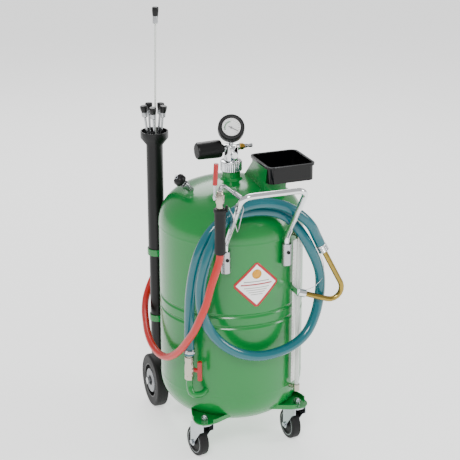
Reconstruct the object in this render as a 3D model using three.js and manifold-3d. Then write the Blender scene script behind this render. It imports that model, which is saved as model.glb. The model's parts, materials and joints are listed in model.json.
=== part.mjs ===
// Wheeled pneumatic suction drainer for used oil: an upright steel tank on two fixed rear
// wheels and two swivel casters, with a venturi head, suction wand, probes and drain hose.
// Millimetres, +Z up, the handle side faces -Y. Heights are measured from the floor.

import * as THREE from 'three';
import { mergeVertices } from 'three/addons/utils/BufferGeometryUtils.js';
import Module from 'manifold-3d';

const wasm = await Module();
wasm.setup();

// ---- driving dimensions ----------------------------------------------------------------

const GAP = 0.35;                 // air left between pieces that touch or are welded

const TANK_RADIUS = 190;
const TANK_WALL = 2.5;
const TANK_LOWER_WELD = 178;      // height where the straight side begins
const TANK_UPPER_WELD = 609;      // height where the straight side ends
const KNUCKLE_RADIUS = 90;
const TOP_CROWN_RADIUS = 312;
const BOTTOM_CROWN_RADIUS = 500;
const BEAD_DEPTH = 3.2;
const BEAD_SPREAD = 6;            // half width of a rolled groove
const BEAD_HEIGHTS = [381, 412];  // the two rolled grooves above and below the raised band
const NECK_RADIUS = 23.5;
const NECK_BORE = 17;
const NECK_RISE = 36;             // neck above the top of the dome

const NUT_RADIUS = 28.5;
const NUT_HEIGHT = 27;
const VENTURI_RADIUS = 19;
const VENTURI_HEIGHT = 41;
const SILENCER_RADIUS = 22.5;
const SILENCER_LENGTH = 65;
const NIPPLE_REACH = 58;
const GAUGE_RADIUS = 31.5;
const GAUGE_WINDOW = 23.5;        // radius of the dial that the boot leaves open
const GAUGE_POST = 5;
const GAUGE_DEPTH = 26;
const GAUGE_BOOT_WALL = 2.6;
const GAUGE_TILT = 33;            // degrees the dial leans back
const GAUGE_TURN = -18;           // degrees the dial turns towards the filling side

const RELIEF_ANGLE = -92;
const RELIEF_ORBIT = 110;
const RELIEF_LEAN = 45;           // degrees from upright, outwards

const HANDLE_HALF_WIDTH = 82;
const HANDLE_TURN = -1.3;         // degrees the handle sits round from the middle of the casters
const HANDLE_TUBE_RADIUS = 7.5;
const HANDLE_BEND = 26;
const HANDLE_REACH = 124;         // how far the grip bar stands forward of the sockets
const HANDLE_RISE = 182;          // grip bar above the top of the sockets
const SOCKET_RADIUS = 12.5;
const SOCKET_LENGTH = 57;
const SOCKET_TOP = TANK_UPPER_WELD - 12;

const TRAY_SIZE = [133, 136, 45];
const TRAY_CENTRE = [TANK_RADIUS - 73.5, -64];
const TRAY_ABOVE_DOME = 58.202;   // the tray's rim above the top of the dome
const TRAY_WALL = 2.5;
const TRAY_CORNER = 18;
const SHEET = 2.5;
const BEND_STEP = 22;             // degrees between the sections of a bent rod

const HOLDER_ANGLE = -133.5;
const HOLDER_RADIUS = 22;
const HOLDER_LOWER_RADIUS = 19.5;
const HOLDER_WALL = 2;
const FUNNEL_RADIUS = 37;
const HOLDER_TOP = 826;
const HOLDER_JOIN = 484;
const HOLDER_BOTTOM = 186;
const CLAMP_HEIGHTS = [480, 287];
const CLAMP_WIDTH = 18;

const SHORT_PROBE_COUNT = 5;
const SHORT_PROBE_RADIUS = 3.2;
const SHORT_PROBE_LENGTH = 330;
const SHORT_PROBE_CAP_RADIUS = 10;
const SHORT_PROBE_TOP = 896;
const PROBE_LEAN = 6.5;           // degrees
const PROBE_SPREAD = 26.5;        // from the holder's axis to a short probe's cap
const PROBE_OFFSET = 7;           // how far a short probe passes beside the axis
const PROBE_FIRST_TURN = 158.8;
const LONG_PROBE_CAP_RADIUS = 9;
const LONG_PROBE_RADIUS = 2.6;
const LONG_PROBE_TOP = 1153;
const LONG_PROBE_LEAN = 1.1;      // degrees, towards +X at the top
const LONG_PROBE_SHIFT = 9;       // its cap from the holder's axis
const LONG_PROBE_LENGTH = 900;

const SIGHT_ANGLE = 33.5;
const SIGHT_RADIUS = 6;
const SIGHT_STANDOFF = 22;
const SIGHT_BOTTOM = 190;
const SIGHT_TOP = TANK_UPPER_WELD - 7;
const SIGHT_FITTING = 18;

const DRAIN_ANGLE = -50;
const DRAIN_STANDOFF = 33;        // the T-handle needs this to turn clear of the tank
const DRAIN_PIPE_RADIUS = 8.5;
const DRAIN_VALVE_BOTTOM = 241;
const DRAIN_VALVE_LENGTH = 50;
const DRAIN_COLLAR = 18;
const DRAIN_HANDLE_REACH = 31;
const DRAIN_HANDLE_HALF = 26;

const INLET_ANGLE = -155;
const INLET_STANDOFF = 32;
const INLET_HEIGHT = TANK_UPPER_WELD - 47;

const REAR_WHEEL_RADIUS = 75;
const REAR_RIM_RADIUS = 48;
const REAR_WHEEL_WIDTH = 33;
const REAR_WHEEL_Y = TANK_RADIUS + 16;
const REAR_TRACK_HALF = TANK_RADIUS - 39;
const REAR_AXLE_RADIUS = 6;

const CASTER_X = TANK_RADIUS - 58;
const CASTER_Y = 41 - TANK_RADIUS;
const CASTER_WHEEL_RADIUS = 41;
const CASTER_WHEEL_WIDTH = 25;
const CASTER_OFFSET = 36;
const CASTER_TURNS = [10, 5];   // degrees each caster is turned at rest, left then right
const CASTER_HEIGHT = 114;
const CASTER_PLATE = 3.5;
const CASTER_RIM = 9;             // turned-up edge of a caster bracket

const WAND = [-130, -262];
const WAND_GRIP_BOTTOM = 624;
const WAND_GRIP_RADIUS = 14.2;
const WAND_GRIP_LENGTH = 118;
const LEVER_LENGTH = 85;

const SUCTION_HOSE_RADIUS = 9.5;
const DISCHARGE_HOSE_RADIUS = 13;
const NOZZLE_RADIUS = 7;

// ---- finishes --------------------------------------------------------------------------

function finish(color, roughness, metalness = 0) {
  return new THREE.MeshStandardMaterial({ color, roughness, metalness });
}

const GREEN = finish(0x00a24a, 0.3);
const CHROME = finish(0xd0d2d4, 0.15, 1);
const ZINC = finish(0xb9bec4, 0.35, 1);
const NICKEL = finish(0xb5aa98, 0.3, 1);
const BRASS = finish(0xb8923f, 0.3, 1);
const GOLD_ZINC = finish(0xb7a468, 0.25, 1);
const STEEL = finish(0xa8aaac, 0.35, 1);
const BLACK = finish(0x1a1a1b, 0.5);
const RUBBER = finish(0x222324, 0.8);
const TYRE = finish(0x2a2b2c, 0.85);
const RED = finish(0xd8232f, 0.35);
const RED_HOSE = finish(0xe2564c, 0.45);
const TEAL_HOSE = finish(0x0f8f92, 0.25);
const CLEAR = finish(0xd9ded9, 0.1);
const DIAL = finish(0xf0f1ee, 0.5);

// ---- solid helpers ---------------------------------------------------------------------

// Merges shared vertices, drops flat triangles and turns the faces outwards.
function tidy(source) {
  const bare = source.clone();
  for (const name of Object.keys(bare.attributes)) {
    if (name !== 'position') bare.deleteAttribute(name);
  }
  const merged = mergeVertices(bare, 1e-3);
  const spots = merged.attributes.position.array;
  const index = merged.index.array;
  const kept = [];
  let volume = 0;
  for (let i = 0; i < index.length; i += 3) {
    const [a, b, c] = [index[i], index[i + 1], index[i + 2]];
    if (a === b || b === c || a === c) continue;
    kept.push(a, b, c);
    const [p, q, r] = [a, b, c].map((n) => new THREE.Vector3().fromArray(spots, n * 3));
    volume += p.dot(q.cross(r));
  }
  if (volume < 0) {
    for (let i = 0; i < kept.length; i += 3) [kept[i], kept[i + 1]] = [kept[i + 1], kept[i]];
  }
  const result = new THREE.BufferGeometry();
  result.setAttribute('position', new THREE.BufferAttribute(new Float32Array(spots), 3));
  result.setIndex(kept);
  return result;
}

function toSolid(geometry) {
  const clean = tidy(geometry);
  return new wasm.Manifold(new wasm.Mesh({
    numProp: 3,
    vertProperties: new Float32Array(clean.attributes.position.array),
    triVerts: new Uint32Array(clean.index.array),
  }));
}

function fromSolid(solid) {
  const mesh = solid.getMesh();
  const geometry = new THREE.BufferGeometry();
  geometry.setAttribute('position', new THREE.BufferAttribute(new Float32Array(mesh.vertProperties), 3));
  geometry.setIndex([...mesh.triVerts]);
  return tidy(geometry);
}

function join(...shapes) {
  return fromSolid(shapes.map(toSolid).reduce((whole, next) => whole.add(next)));
}

function cut(shape, ...tools) {
  return fromSolid(tools.map(toSolid).reduce((whole, next) => whole.subtract(next), toSolid(shape)));
}

// Turns an outline of [radius, height] pairs about the vertical axis.
function turned(outline, sides = 24) {
  const profile = outline.map(([radius, height]) => new THREE.Vector2(Math.max(radius, 0), height));
  return tidy(new THREE.LatheGeometry(profile, sides).rotateX(Math.PI / 2));
}

function disc(radius, bottom, top, sides = 24) {
  return turned([[0, bottom], [radius, bottom], [radius, top], [0, top]], sides);
}

function ring(inner, outer, bottom, top, sides = 24) {
  return turned([[inner, bottom], [outer, bottom], [outer, top], [inner, top], [inner, bottom]], sides);
}

function block(low, high) {
  const size = high.map((value, i) => value - low[i]);
  const centre = high.map((value, i) => (value + low[i]) / 2);
  return new THREE.BoxGeometry(...size).translate(...centre);
}

// A straight round bar between two points.
function bar(from, to, radius, sides = 16) {
  const start = new THREE.Vector3(...from);
  const along = new THREE.Vector3(...to).sub(start);
  const turn = new THREE.Quaternion().setFromUnitVectors(
    new THREE.Vector3(0, 0, 1), along.clone().normalize());
  return disc(radius, 0, along.length(), sides).applyQuaternion(turn).translate(...from);
}

function polygonShape(points) {
  return new THREE.Shape(points.map(([x, y]) => new THREE.Vector2(x, y)));
}

function roundSection(radius, sides) {
  const corners = Array.from({ length: sides }, (_, i) => {
    const angle = (2 * Math.PI * i) / sides;
    return [radius * Math.cos(angle), radius * Math.sin(angle)];
  });
  return polygonShape(corners);
}

// A round tube or rod along a smooth curve through the given points.
function swept(points, radius, sides, steps) {
  const curve = new THREE.CatmullRomCurve3(points.map((p) => new THREE.Vector3(...p)));
  return tidy(new THREE.ExtrudeGeometry(roundSection(radius, sides), { extrudePath: curve, steps }));
}

// A path whose cross-sections fall on the given points, however unevenly they are spaced.
class Track extends THREE.Curve {
  constructor(points) {
    super();
    this.points = points;
  }

  getPointAt(t, target = new THREE.Vector3()) {
    return target.copy(this.points[Math.round(t * (this.points.length - 1))]);
  }

  getTangentAt(t, target = new THREE.Vector3()) {
    const last = this.points.length - 1;
    const i = Math.round(t * last);
    const run = (from, to) => this.points[to].clone().sub(this.points[from]).normalize();
    target.set(0, 0, 0);
    if (i > 0) target.add(run(i - 1, i));
    if (i < last) target.add(run(i, i + 1));
    return target.normalize();
  }
}

// A round rod along straight runs joined by round bends, one section every `BEND_STEP` degrees.
function bentRod(corners, bendRadius, radius, sides) {
  const points = corners.map((p) => new THREE.Vector3(...p));
  const track = [points[0]];
  for (let i = 1; i < points.length - 1; i++) {
    const back = points[i - 1].clone().sub(points[i]).normalize();
    const ahead = points[i + 1].clone().sub(points[i]).normalize();
    const half = back.angleTo(ahead) / 2;
    const middle = back.clone().add(ahead).normalize();
    const centre = points[i].clone().addScaledVector(middle, bendRadius / Math.sin(half));
    const start = points[i].clone().addScaledVector(back, bendRadius / Math.tan(half)).sub(centre);
    const axis = back.clone().cross(ahead).normalize();
    const bend = -(Math.PI - 2 * half);
    const count = Math.ceil(Math.abs(THREE.MathUtils.radToDeg(bend)) / BEND_STEP);
    for (let k = 0; k <= count; k++) {
      track.push(start.clone().applyAxisAngle(axis, (bend * k) / count).add(centre));
    }
  }
  track.push(points[points.length - 1]);
  const path = new Track(track);
  return tidy(new THREE.ExtrudeGeometry(roundSection(radius, sides),
    { extrudePath: path, steps: track.length - 1 }));
}

// A flat plate: an outline in X and Y, from one height to another.
function plate(points, bottom, top) {
  const depth = top - bottom;
  return tidy(new THREE.ExtrudeGeometry(polygonShape(points), { depth, bevelEnabled: false })
    .translate(0, 0, bottom));
}

// A flat plate standing across X: an outline in Y and Z, from one X to another.
function uprightPlate(points, left, right) {
  return tidy(new THREE.ExtrudeGeometry(polygonShape(points), { depth: right - left, bevelEnabled: false })
    .rotateX(Math.PI / 2).rotateZ(Math.PI / 2).translate(left, 0, 0));
}

function roundedRectangle(width, length, radius, centre, cornerSteps = 4) {
  const corners = [[1, -1], [1, 1], [-1, 1], [-1, -1]];
  return corners.flatMap(([sx, sy], corner) => Array.from({ length: cornerSteps + 1 }, (_, i) => {
    const angle = (corner - 1 + i / cornerSteps) * (Math.PI / 2);
    return [
      centre[0] + sx * (width / 2 - radius) + radius * Math.cos(angle),
      centre[1] + sy * (length / 2 - radius) + radius * Math.sin(angle),
    ];
  }));
}

// The point at an orbit around the tank; 0 degrees is the front, positive towards +X.
function orbit(degrees, radius, height = 0) {
  const angle = THREE.MathUtils.degToRad(degrees);
  return [radius * Math.sin(angle), -radius * Math.cos(angle), height];
}

const model = new THREE.Group();

function add(name, geometry, material, parent = model) {
  const mesh = new THREE.Mesh(tidy(geometry), material);
  mesh.name = name;
  parent.add(mesh);
  return mesh;
}

function groupAt(position, turnDegrees = 0) {
  const group = new THREE.Group();
  group.position.set(...position);
  group.rotation.z = THREE.MathUtils.degToRad(turnDegrees);
  model.add(group);
  return group;
}

// ---- tank ------------------------------------------------------------------------------

function headHeight(crown, knuckle) {
  return crown - Math.sqrt((crown - knuckle) ** 2 - (TANK_RADIUS - knuckle) ** 2);
}

const DOME_TOP = TANK_UPPER_WELD + headHeight(TOP_CROWN_RADIUS, KNUCKLE_RADIUS);
const DOME_BOTTOM = TANK_LOWER_WELD - headHeight(BOTTOM_CROWN_RADIUS, KNUCKLE_RADIUS);
const NECK_TOP = DOME_TOP + NECK_RISE;
const TRAY_RIM_HEIGHT = DOME_TOP + TRAY_ABOVE_DOME;

// Height above the weld of a dished head at a radius, for an outline moved out by `grow`.
function headRise(radius, crown, grow = 0) {
  const centreDrop = headHeight(crown, KNUCKLE_RADIUS) - crown;
  const knuckleOrbit = TANK_RADIUS - KNUCKLE_RADIUS;
  const joinRadius = (crown + grow) * knuckleOrbit / (crown - KNUCKLE_RADIUS);
  if (radius <= joinRadius) return centreDrop + Math.sqrt((crown + grow) ** 2 - radius ** 2);
  const reach = (KNUCKLE_RADIUS + grow) ** 2 - (radius - knuckleOrbit) ** 2;
  return Math.sqrt(Math.max(reach, 0));
}

// The head's outline from the axis side to the weld, as [radius, rise] pairs.
function headOutline(crown, startRadius, grow, crownSteps, knuckleSteps) {
  const knuckleOrbit = TANK_RADIUS - KNUCKLE_RADIUS;
  const joinAngle = Math.acos(knuckleOrbit / (crown - KNUCKLE_RADIUS));
  const joinRadius = (crown + grow) * Math.cos(joinAngle);
  const points = [];
  for (let i = 0; i < crownSteps; i++) {
    const radius = startRadius + ((joinRadius - startRadius) * i) / crownSteps;
    points.push([radius, headRise(radius, crown, grow)]);
  }
  for (let i = 0; i <= knuckleSteps; i++) {
    const angle = joinAngle * (1 - i / knuckleSteps);
    const reach = KNUCKLE_RADIUS + grow;
    points.push([knuckleOrbit + reach * Math.cos(angle), reach * Math.sin(angle)]);
  }
  return points;
}

const TANK_SIDES = 44;

function beadOutline(radius) {
  return BEAD_HEIGHTS.flatMap((height) => [
    [radius, height - BEAD_SPREAD], [radius - BEAD_DEPTH, height], [radius, height + BEAD_SPREAD]]);
}

function tankOuter(grow, withBeads) {
  const bottom = headOutline(BOTTOM_CROWN_RADIUS, 0, grow, 2, 5)
    .map(([r, rise]) => [r, TANK_LOWER_WELD - rise]);
  const top = headOutline(TOP_CROWN_RADIUS, NECK_RADIUS + 6 + grow, grow, 2, 5)
    .map(([r, rise]) => [r, TANK_UPPER_WELD + rise]).reverse();
  return [...bottom, ...(withBeads ? beadOutline(TANK_RADIUS) : []), ...top];
}

function makeTank() {
  const shoulder = NECK_TOP - 14;
  const threadRadius = NECK_RADIUS - 3;
  const outer = [
    ...tankOuter(0, true),
    [NECK_RADIUS, DOME_TOP + 6], [NECK_RADIUS, shoulder],
    [threadRadius, shoulder], [threadRadius, NECK_TOP],
  ];
  const innerTop = headOutline(TOP_CROWN_RADIUS, NECK_BORE, -TANK_WALL, 1, 3)
    .map(([r, rise]) => [r, TANK_UPPER_WELD + rise]);
  const innerBottom = headOutline(BOTTOM_CROWN_RADIUS, 0, -TANK_WALL, 1, 3)
    .map(([r, rise]) => [r, TANK_LOWER_WELD - rise]).reverse();
  add('tank_shell', turned([...outer, [NECK_BORE, NECK_TOP], ...innerTop, ...innerBottom], TANK_SIDES), GREEN);
}

// The tank's outside moved out by the gap: welded pieces are trimmed to it.
function tankEnvelope() {
  const outline = tankOuter(GAP, false);
  return turned([...outline, [0, DOME_TOP + GAP]], TANK_SIDES);
}

const ENVELOPE = tankEnvelope();

function trimmedToTank(...shapes) {
  return cut(shapes.length > 1 ? join(...shapes) : shapes[0], ENVELOPE);
}

// ---- venturi head, silencer, air inlet and gauge ----------------------------------------

const NUT_BOTTOM = NECK_TOP - 14 + GAP;
const NUT_TOP = NUT_BOTTOM + NUT_HEIGHT;
const HEAD_BOTTOM = NUT_TOP + GAP;
const HEAD_TOP = HEAD_BOTTOM + VENTURI_HEIGHT;
const PORT_HEIGHT = HEAD_BOTTOM + 33;

function makeHead() {
  const threadRadius = NECK_RADIUS - 3;
  const lip = NECK_TOP + 5;
  add('neck_ring_nut', turned([
    [threadRadius + GAP, NUT_BOTTOM], [NUT_RADIUS, NUT_BOTTOM], [NUT_RADIUS, NUT_TOP - 2],
    [NUT_RADIUS - 2, NUT_TOP], [NECK_BORE, NUT_TOP], [NECK_BORE, lip],
    [threadRadius + GAP, lip], [threadRadius + GAP, NUT_BOTTOM]], 24), CHROME);
  const stem = turned([
    [0, NECK_TOP - 46], [NECK_BORE - 3, NECK_TOP - 46], [NECK_BORE - 3, NECK_TOP + GAP],
    [threadRadius - 1, NECK_TOP + GAP], [threadRadius - 1, lip - GAP],
    [NECK_BORE - 1, lip - GAP], [NECK_BORE - 1, HEAD_BOTTOM],
    [VENTURI_RADIUS, HEAD_BOTTOM], [VENTURI_RADIUS, HEAD_TOP - 3],
    [VENTURI_RADIUS - 3, HEAD_TOP], [6, HEAD_TOP], [6, HEAD_TOP + GAUGE_POST], [0, HEAD_TOP + GAUGE_POST]], 16);
  const side = (x) => bar([0, 0, PORT_HEIGHT], [x, 0, PORT_HEIGHT], 10, 12);
  const front = bar([0, 0, PORT_HEIGHT - 16], [0, -VENTURI_RADIUS - 6, PORT_HEIGHT - 16], 9, 12);
  add('venturi_body', join(stem, side(-VENTURI_RADIUS - 2), side(VENTURI_RADIUS + 2), front), CHROME);

  const back = VENTURI_RADIUS + 2 + GAP;
  const neck = 9;
  const body = back + neck;
  const silencer = turned([
    [0, back], [10.5, back], [10.5, body], [SILENCER_RADIUS, body], [SILENCER_RADIUS + 1, body + 6],
    [SILENCER_RADIUS, body + SILENCER_LENGTH - 4], [SILENCER_RADIUS - 3, body + SILENCER_LENGTH],
    [0, body + SILENCER_LENGTH]], 20);
  add('silencer', silencer.rotateY(-Math.PI / 2).translate(0, 0, PORT_HEIGHT), BLACK);

  const fitting = turned([[0, back], [7, back], [7, back + 3], [9, back + 3], [9, back + 12],
    [6, back + 13], [6, back + 15], [0, back + 15]], 6);
  add('inlet_fitting', fitting.rotateY(Math.PI / 2).translate(0, 0, PORT_HEIGHT), BRASS);
  const start = back + 15 + GAP;
  const nipple = turned([[2, start], [5.5, start], [5.5, start + 6], [4.2, start + 8],
    [4.2, start + 12], [5.5, start + 14], [5.5, NIPPLE_REACH], [2, NIPPLE_REACH], [2, start]], 10);
  add('air_nipple', nipple.rotateY(Math.PI / 2).translate(0, 0, PORT_HEIGHT), STEEL);
}

function makeGauge() {
  const bootRadius = GAUGE_RADIUS + GAP + GAUGE_BOOT_WALL;
  const tilt = THREE.MathUtils.degToRad(GAUGE_TILT);
  const drop = (bootRadius * Math.cos(tilt)) + (GAUGE_DEPTH / 2 + GAUGE_BOOT_WALL) * Math.sin(tilt);
  const centre = new THREE.Group();
  centre.position.set(0, 0, HEAD_TOP + GAUGE_POST + GAP + drop);
  centre.rotation.set(Math.PI / 2 - tilt, 0, THREE.MathUtils.degToRad(GAUGE_TURN), 'ZXY');
  model.add(centre);
  const back = -GAUGE_DEPTH / 2;
  const front = GAUGE_DEPTH / 2;
  add('gauge_boot', turned([
    [0, back - GAP - GAUGE_BOOT_WALL], [bootRadius - 2, back - GAP - GAUGE_BOOT_WALL],
    [bootRadius, back], [bootRadius, front + 1], [bootRadius - 1.5, front + 3],
    [GAUGE_WINDOW, front + 3], [GAUGE_WINDOW, front + GAP], [GAUGE_RADIUS + GAP, front + GAP],
    [GAUGE_RADIUS + GAP, back - GAP], [0, back - GAP]], 20), RUBBER, centre);
  const dialFace = front - 7;
  add('gauge_case', turned([
    [0, back], [GAUGE_RADIUS, back], [GAUGE_RADIUS, front], [GAUGE_WINDOW, front],
    [GAUGE_WINDOW, dialFace], [0, dialFace]], 20), DIAL, centre);
  const hub = disc(3, dialFace + GAP, dialFace + 2.6, 12);
  const pointer = block([-1.1, -8, dialFace + 0.8], [1.1, GAUGE_WINDOW - 3, dialFace + 1.8]);
  const needle = add('gauge_needle', join(hub, pointer), BLACK, centre);
  needle.rotation.z = THREE.MathUtils.degToRad(-118);
}

// ---- relief valve on the dome -----------------------------------------------------------

function makeRelief() {
  const height = TANK_UPPER_WELD + headRise(RELIEF_ORBIT, TOP_CROWN_RADIUS);
  const place = (shape) => shape.rotateX(THREE.MathUtils.degToRad(RELIEF_LEAN))
    .rotateZ(THREE.MathUtils.degToRad(RELIEF_ANGLE)).translate(...orbit(RELIEF_ANGLE, RELIEF_ORBIT, height));
  const top = 32;
  const body = place(turned([[0, -14], [8, -14], [8, 14], [11, 15], [11, 25], [5, 26],
    [5, top], [0, top]], 12));
  add('relief_body', trimmedToTank(body), NICKEL);
  const cap = top + GAP;
  add('relief_cap', place(turned([[0, cap], [13, cap], [16, cap + 3], [16, cap + 14],
    [13, cap + 18], [0, cap + 18]], 18)), BLACK);
}

// ---- push handle, sockets and hook ------------------------------------------------------

const SOCKET_Y = -Math.sqrt((TANK_RADIUS + SOCKET_RADIUS + 2 * GAP) ** 2 - HANDLE_HALF_WIDTH ** 2);
const BAR_Y = SOCKET_Y - HANDLE_REACH;
const BAR_HEIGHT = SOCKET_TOP + HANDLE_RISE;

function makeHandle() {
  const turn = THREE.MathUtils.degToRad(HANDLE_TURN);
  const side = (sign) => [
    [sign * HANDLE_HALF_WIDTH, SOCKET_Y, SOCKET_TOP - SOCKET_LENGTH + 12],
    [sign * HANDLE_HALF_WIDTH, SOCKET_Y, SOCKET_TOP + 16],
    [sign * (HANDLE_HALF_WIDTH + 1), BAR_Y, BAR_HEIGHT],
  ];
  const corners = [...side(-1), ...side(1).reverse()];
  add('handle_tube', bentRod(corners, HANDLE_BEND, HANDLE_TUBE_RADIUS, 12).rotateZ(turn), CHROME);
  for (const [sign, word] of [[-1, 'left'], [1, 'right']]) {
    const socket = ring(HANDLE_TUBE_RADIUS + GAP, SOCKET_RADIUS, SOCKET_TOP - SOCKET_LENGTH, SOCKET_TOP, 20)
      .translate(sign * HANDLE_HALF_WIDTH, SOCKET_Y, 0);
    add(`handle_socket_${word}`, socket.rotateZ(turn), GREEN);
  }
}

// A wire bail from the wand's tab, over the handle's left leg and down to the foot of the grip.
const HOOK_ROUTE = [
  [-111.5, -271, 745], [-104, -274, 728], [-97, -279, 700], [-91, -280, 682], [-86, -279, 700],
  [-82, -282, 722], [-79, -286, 742], [-82, -281, 751], [-90, -275.5, 753.5], [-98, -281, 750],
  [-100.5, -287, 738], [-103, -288, 712], [-113, -285, 682], [-119, -282, 650],
];

function makeHook() {
  add('wire_hook', swept(HOOK_ROUTE, 1.2, 5, 40), CHROME);
}

// ---- tool tray and its bracket ----------------------------------------------------------

function makeTray() {
  const [width, length, height] = TRAY_SIZE;
  const rim = 4;
  const bottom = TRAY_RIM_HEIGHT - height;
  const outline = (grow) => roundedRectangle(width + 2 * grow, length + 2 * grow, TRAY_CORNER + grow, TRAY_CENTRE);
  const shell = plate(outline(-rim), bottom, TRAY_RIM_HEIGHT);
  const lip = plate(outline(0), TRAY_RIM_HEIGHT - 6, TRAY_RIM_HEIGHT);
  const hollow = plate(outline(-rim - TRAY_WALL), bottom + TRAY_WALL, TRAY_RIM_HEIGHT + 1);
  add('tray', cut(join(shell, lip), hollow), BLACK);

  const left = TRAY_CENTRE[0] - width / 2;
  const plateX = left + rim - GAP - SHEET;
  const shelfTop = bottom - GAP;
  const front = TRAY_CENTRE[1] - length / 2 + TRAY_CORNER;
  const backTop = TRAY_CENTRE[1] + length / 2 - TRAY_CORNER - 12;
  const footHeight = TANK_UPPER_WELD;
  const upright = uprightPlate([
    [front, TRAY_RIM_HEIGHT - 7], [front + 34, footHeight], [backTop + 68, footHeight],
    [backTop + 62, DOME_TOP - 6], [backTop, TRAY_RIM_HEIGHT - 7]], plateX, plateX + SHEET);
  const shelf = block([plateX, front, shelfTop - SHEET], [plateX + 84, backTop, shelfTop]);
  const gusset = uprightPlate([
    [front + 14, shelfTop - SHEET / 2], [front + 30, footHeight], [front + 30 + SHEET, footHeight],
    [front + 14 + SHEET, shelfTop - SHEET / 2]], plateX + 1, plateX + 62);
  add('tray_bracket', trimmedToTank(upright, shelf, gusset), GREEN);
}

// ---- probe holder and probes ------------------------------------------------------------

const HOLDER_ORBIT = TANK_RADIUS + HOLDER_RADIUS + 6;
const HOLDER_PLACE = orbit(HOLDER_ANGLE, HOLDER_ORBIT);

function makeHolder() {
  const at = ([x, y]) => (geometry) => geometry.translate(x, y, 0);
  const place = at(HOLDER_PLACE);
  const inner = HOLDER_RADIUS - HOLDER_WALL;
  const funnelInner = FUNNEL_RADIUS - HOLDER_WALL - 1;
  add('probe_holder_upper', place(turned([
    [inner, HOLDER_JOIN], [HOLDER_RADIUS, HOLDER_JOIN], [HOLDER_RADIUS, HOLDER_TOP - 37],
    [FUNNEL_RADIUS, HOLDER_TOP - 18], [FUNNEL_RADIUS, HOLDER_TOP], [funnelInner, HOLDER_TOP],
    [funnelInner, HOLDER_TOP - 17], [inner, HOLDER_TOP - 35], [inner, HOLDER_JOIN]], 20)), BLACK);
  const bore = HOLDER_LOWER_RADIUS - HOLDER_WALL;
  add('probe_holder_lower', place(turned([
    [0, HOLDER_BOTTOM], [HOLDER_LOWER_RADIUS, HOLDER_BOTTOM], [HOLDER_LOWER_RADIUS, HOLDER_JOIN + 34],
    [bore, HOLDER_JOIN + 34], [bore, HOLDER_BOTTOM + 3], [0, HOLDER_BOTTOM + 3]], 20)), BLACK);
  const sizes = [HOLDER_RADIUS, HOLDER_LOWER_RADIUS];
  ['upper', 'lower'].forEach((word, i) => {
    const grip = sizes[i] + GAP;
    const low = CLAMP_HEIGHTS[i];
    const high = low + CLAMP_WIDTH;
    const band = ring(grip, grip + 2.5, low, high, 20).translate(HOLDER_PLACE[0], HOLDER_PLACE[1], 0);
    const tab = block([-8, TANK_RADIUS - 4, low + 1], [8, HOLDER_ORBIT - grip - 0.6, high - 1])
      .rotateZ(THREE.MathUtils.degToRad(HOLDER_ANGLE + 180));
    add(`holder_clamp_${word}`, trimmedToTank(band, tab), GREEN);
  });
}

// A probe hangs from its cap: the origin is the top of the cap, the tube points down.
function probeSolid(radius, length, capRadius, capHeight) {
  const nutTop = capHeight;
  const nutBottom = capHeight * 1.75;
  return turned([
    [0, -length], [radius, -length], [radius, -nutBottom - 3], [capRadius * 0.8, -nutBottom],
    [capRadius * 0.8, -nutTop - 1], [capRadius * 0.68, -nutTop], [capRadius * 0.85, -nutTop + 1],
    [capRadius, -capHeight * 0.45], [capRadius, -2], [capRadius * 0.85, 0], [0, 0]], 8);
}

// Each short probe leans outwards and passes beside the holder's axis, not through it.
function makeProbes() {
  for (let i = 0; i < SHORT_PROBE_COUNT; i++) {
    const spin = groupAt([HOLDER_PLACE[0], HOLDER_PLACE[1], SHORT_PROBE_TOP],
      PROBE_FIRST_TURN + (360 / SHORT_PROBE_COUNT) * i);
    const lean = new THREE.Group();
    lean.position.set(PROBE_SPREAD, PROBE_OFFSET, 0);
    lean.rotation.y = THREE.MathUtils.degToRad(PROBE_LEAN);
    spin.add(lean);
    add(`probe_short_${i + 1}`,
      probeSolid(SHORT_PROBE_RADIUS, SHORT_PROBE_LENGTH, SHORT_PROBE_CAP_RADIUS, 17), STEEL, lean);
  }
  const long = groupAt([HOLDER_PLACE[0] + LONG_PROBE_SHIFT, HOLDER_PLACE[1], LONG_PROBE_TOP]);
  long.rotation.y = THREE.MathUtils.degToRad(LONG_PROBE_LEAN);
  add('probe_long', probeSolid(LONG_PROBE_RADIUS, LONG_PROBE_LENGTH, LONG_PROBE_CAP_RADIUS, 24), CLEAR, long);
}

// ---- sight glass ------------------------------------------------------------------------

function makeSightGlass() {
  const reach = TANK_RADIUS + SIGHT_STANDOFF;
  const turn = SIGHT_ANGLE + 90;
  const tube = groupAt(orbit(SIGHT_ANGLE, reach));
  add('sight_tube', disc(SIGHT_RADIUS, SIGHT_BOTTOM, SIGHT_TOP, 14), CLEAR, tube);
  const body = SIGHT_RADIUS + 2.5;
  const ends = { lower: [SIGHT_BOTTOM - SIGHT_FITTING, SIGHT_BOTTOM - GAP],
    upper: [SIGHT_TOP + GAP, SIGHT_TOP + SIGHT_FITTING] };
  for (const [word, [low, high]] of Object.entries(ends)) {
    const middle = (low + high) / 2;
    const fitting = disc(body, low, high, 16).translate(reach, 0, 0);
    const stub = bar([TANK_RADIUS - 8, 0, middle], [reach, 0, middle], SIGHT_RADIUS - 0.5, 12);
    const shape = join(fitting, stub).rotateZ(THREE.MathUtils.degToRad(turn - 180));
    add(`sight_fitting_${word}`, trimmedToTank(shape), CHROME);
  }
}

// ---- drain: pipe, ball valve, handle and hose collar -------------------------------------

const DRAIN_ORBIT = TANK_RADIUS + DRAIN_STANDOFF;
const DRAIN_PLACE = orbit(DRAIN_ANGLE, DRAIN_ORBIT);
const DRAIN_VALVE_TOP = DRAIN_VALVE_BOTTOM + DRAIN_VALVE_LENGTH;
const DRAIN_COLLAR_TOP = DRAIN_VALVE_TOP + DRAIN_COLLAR;

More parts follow.
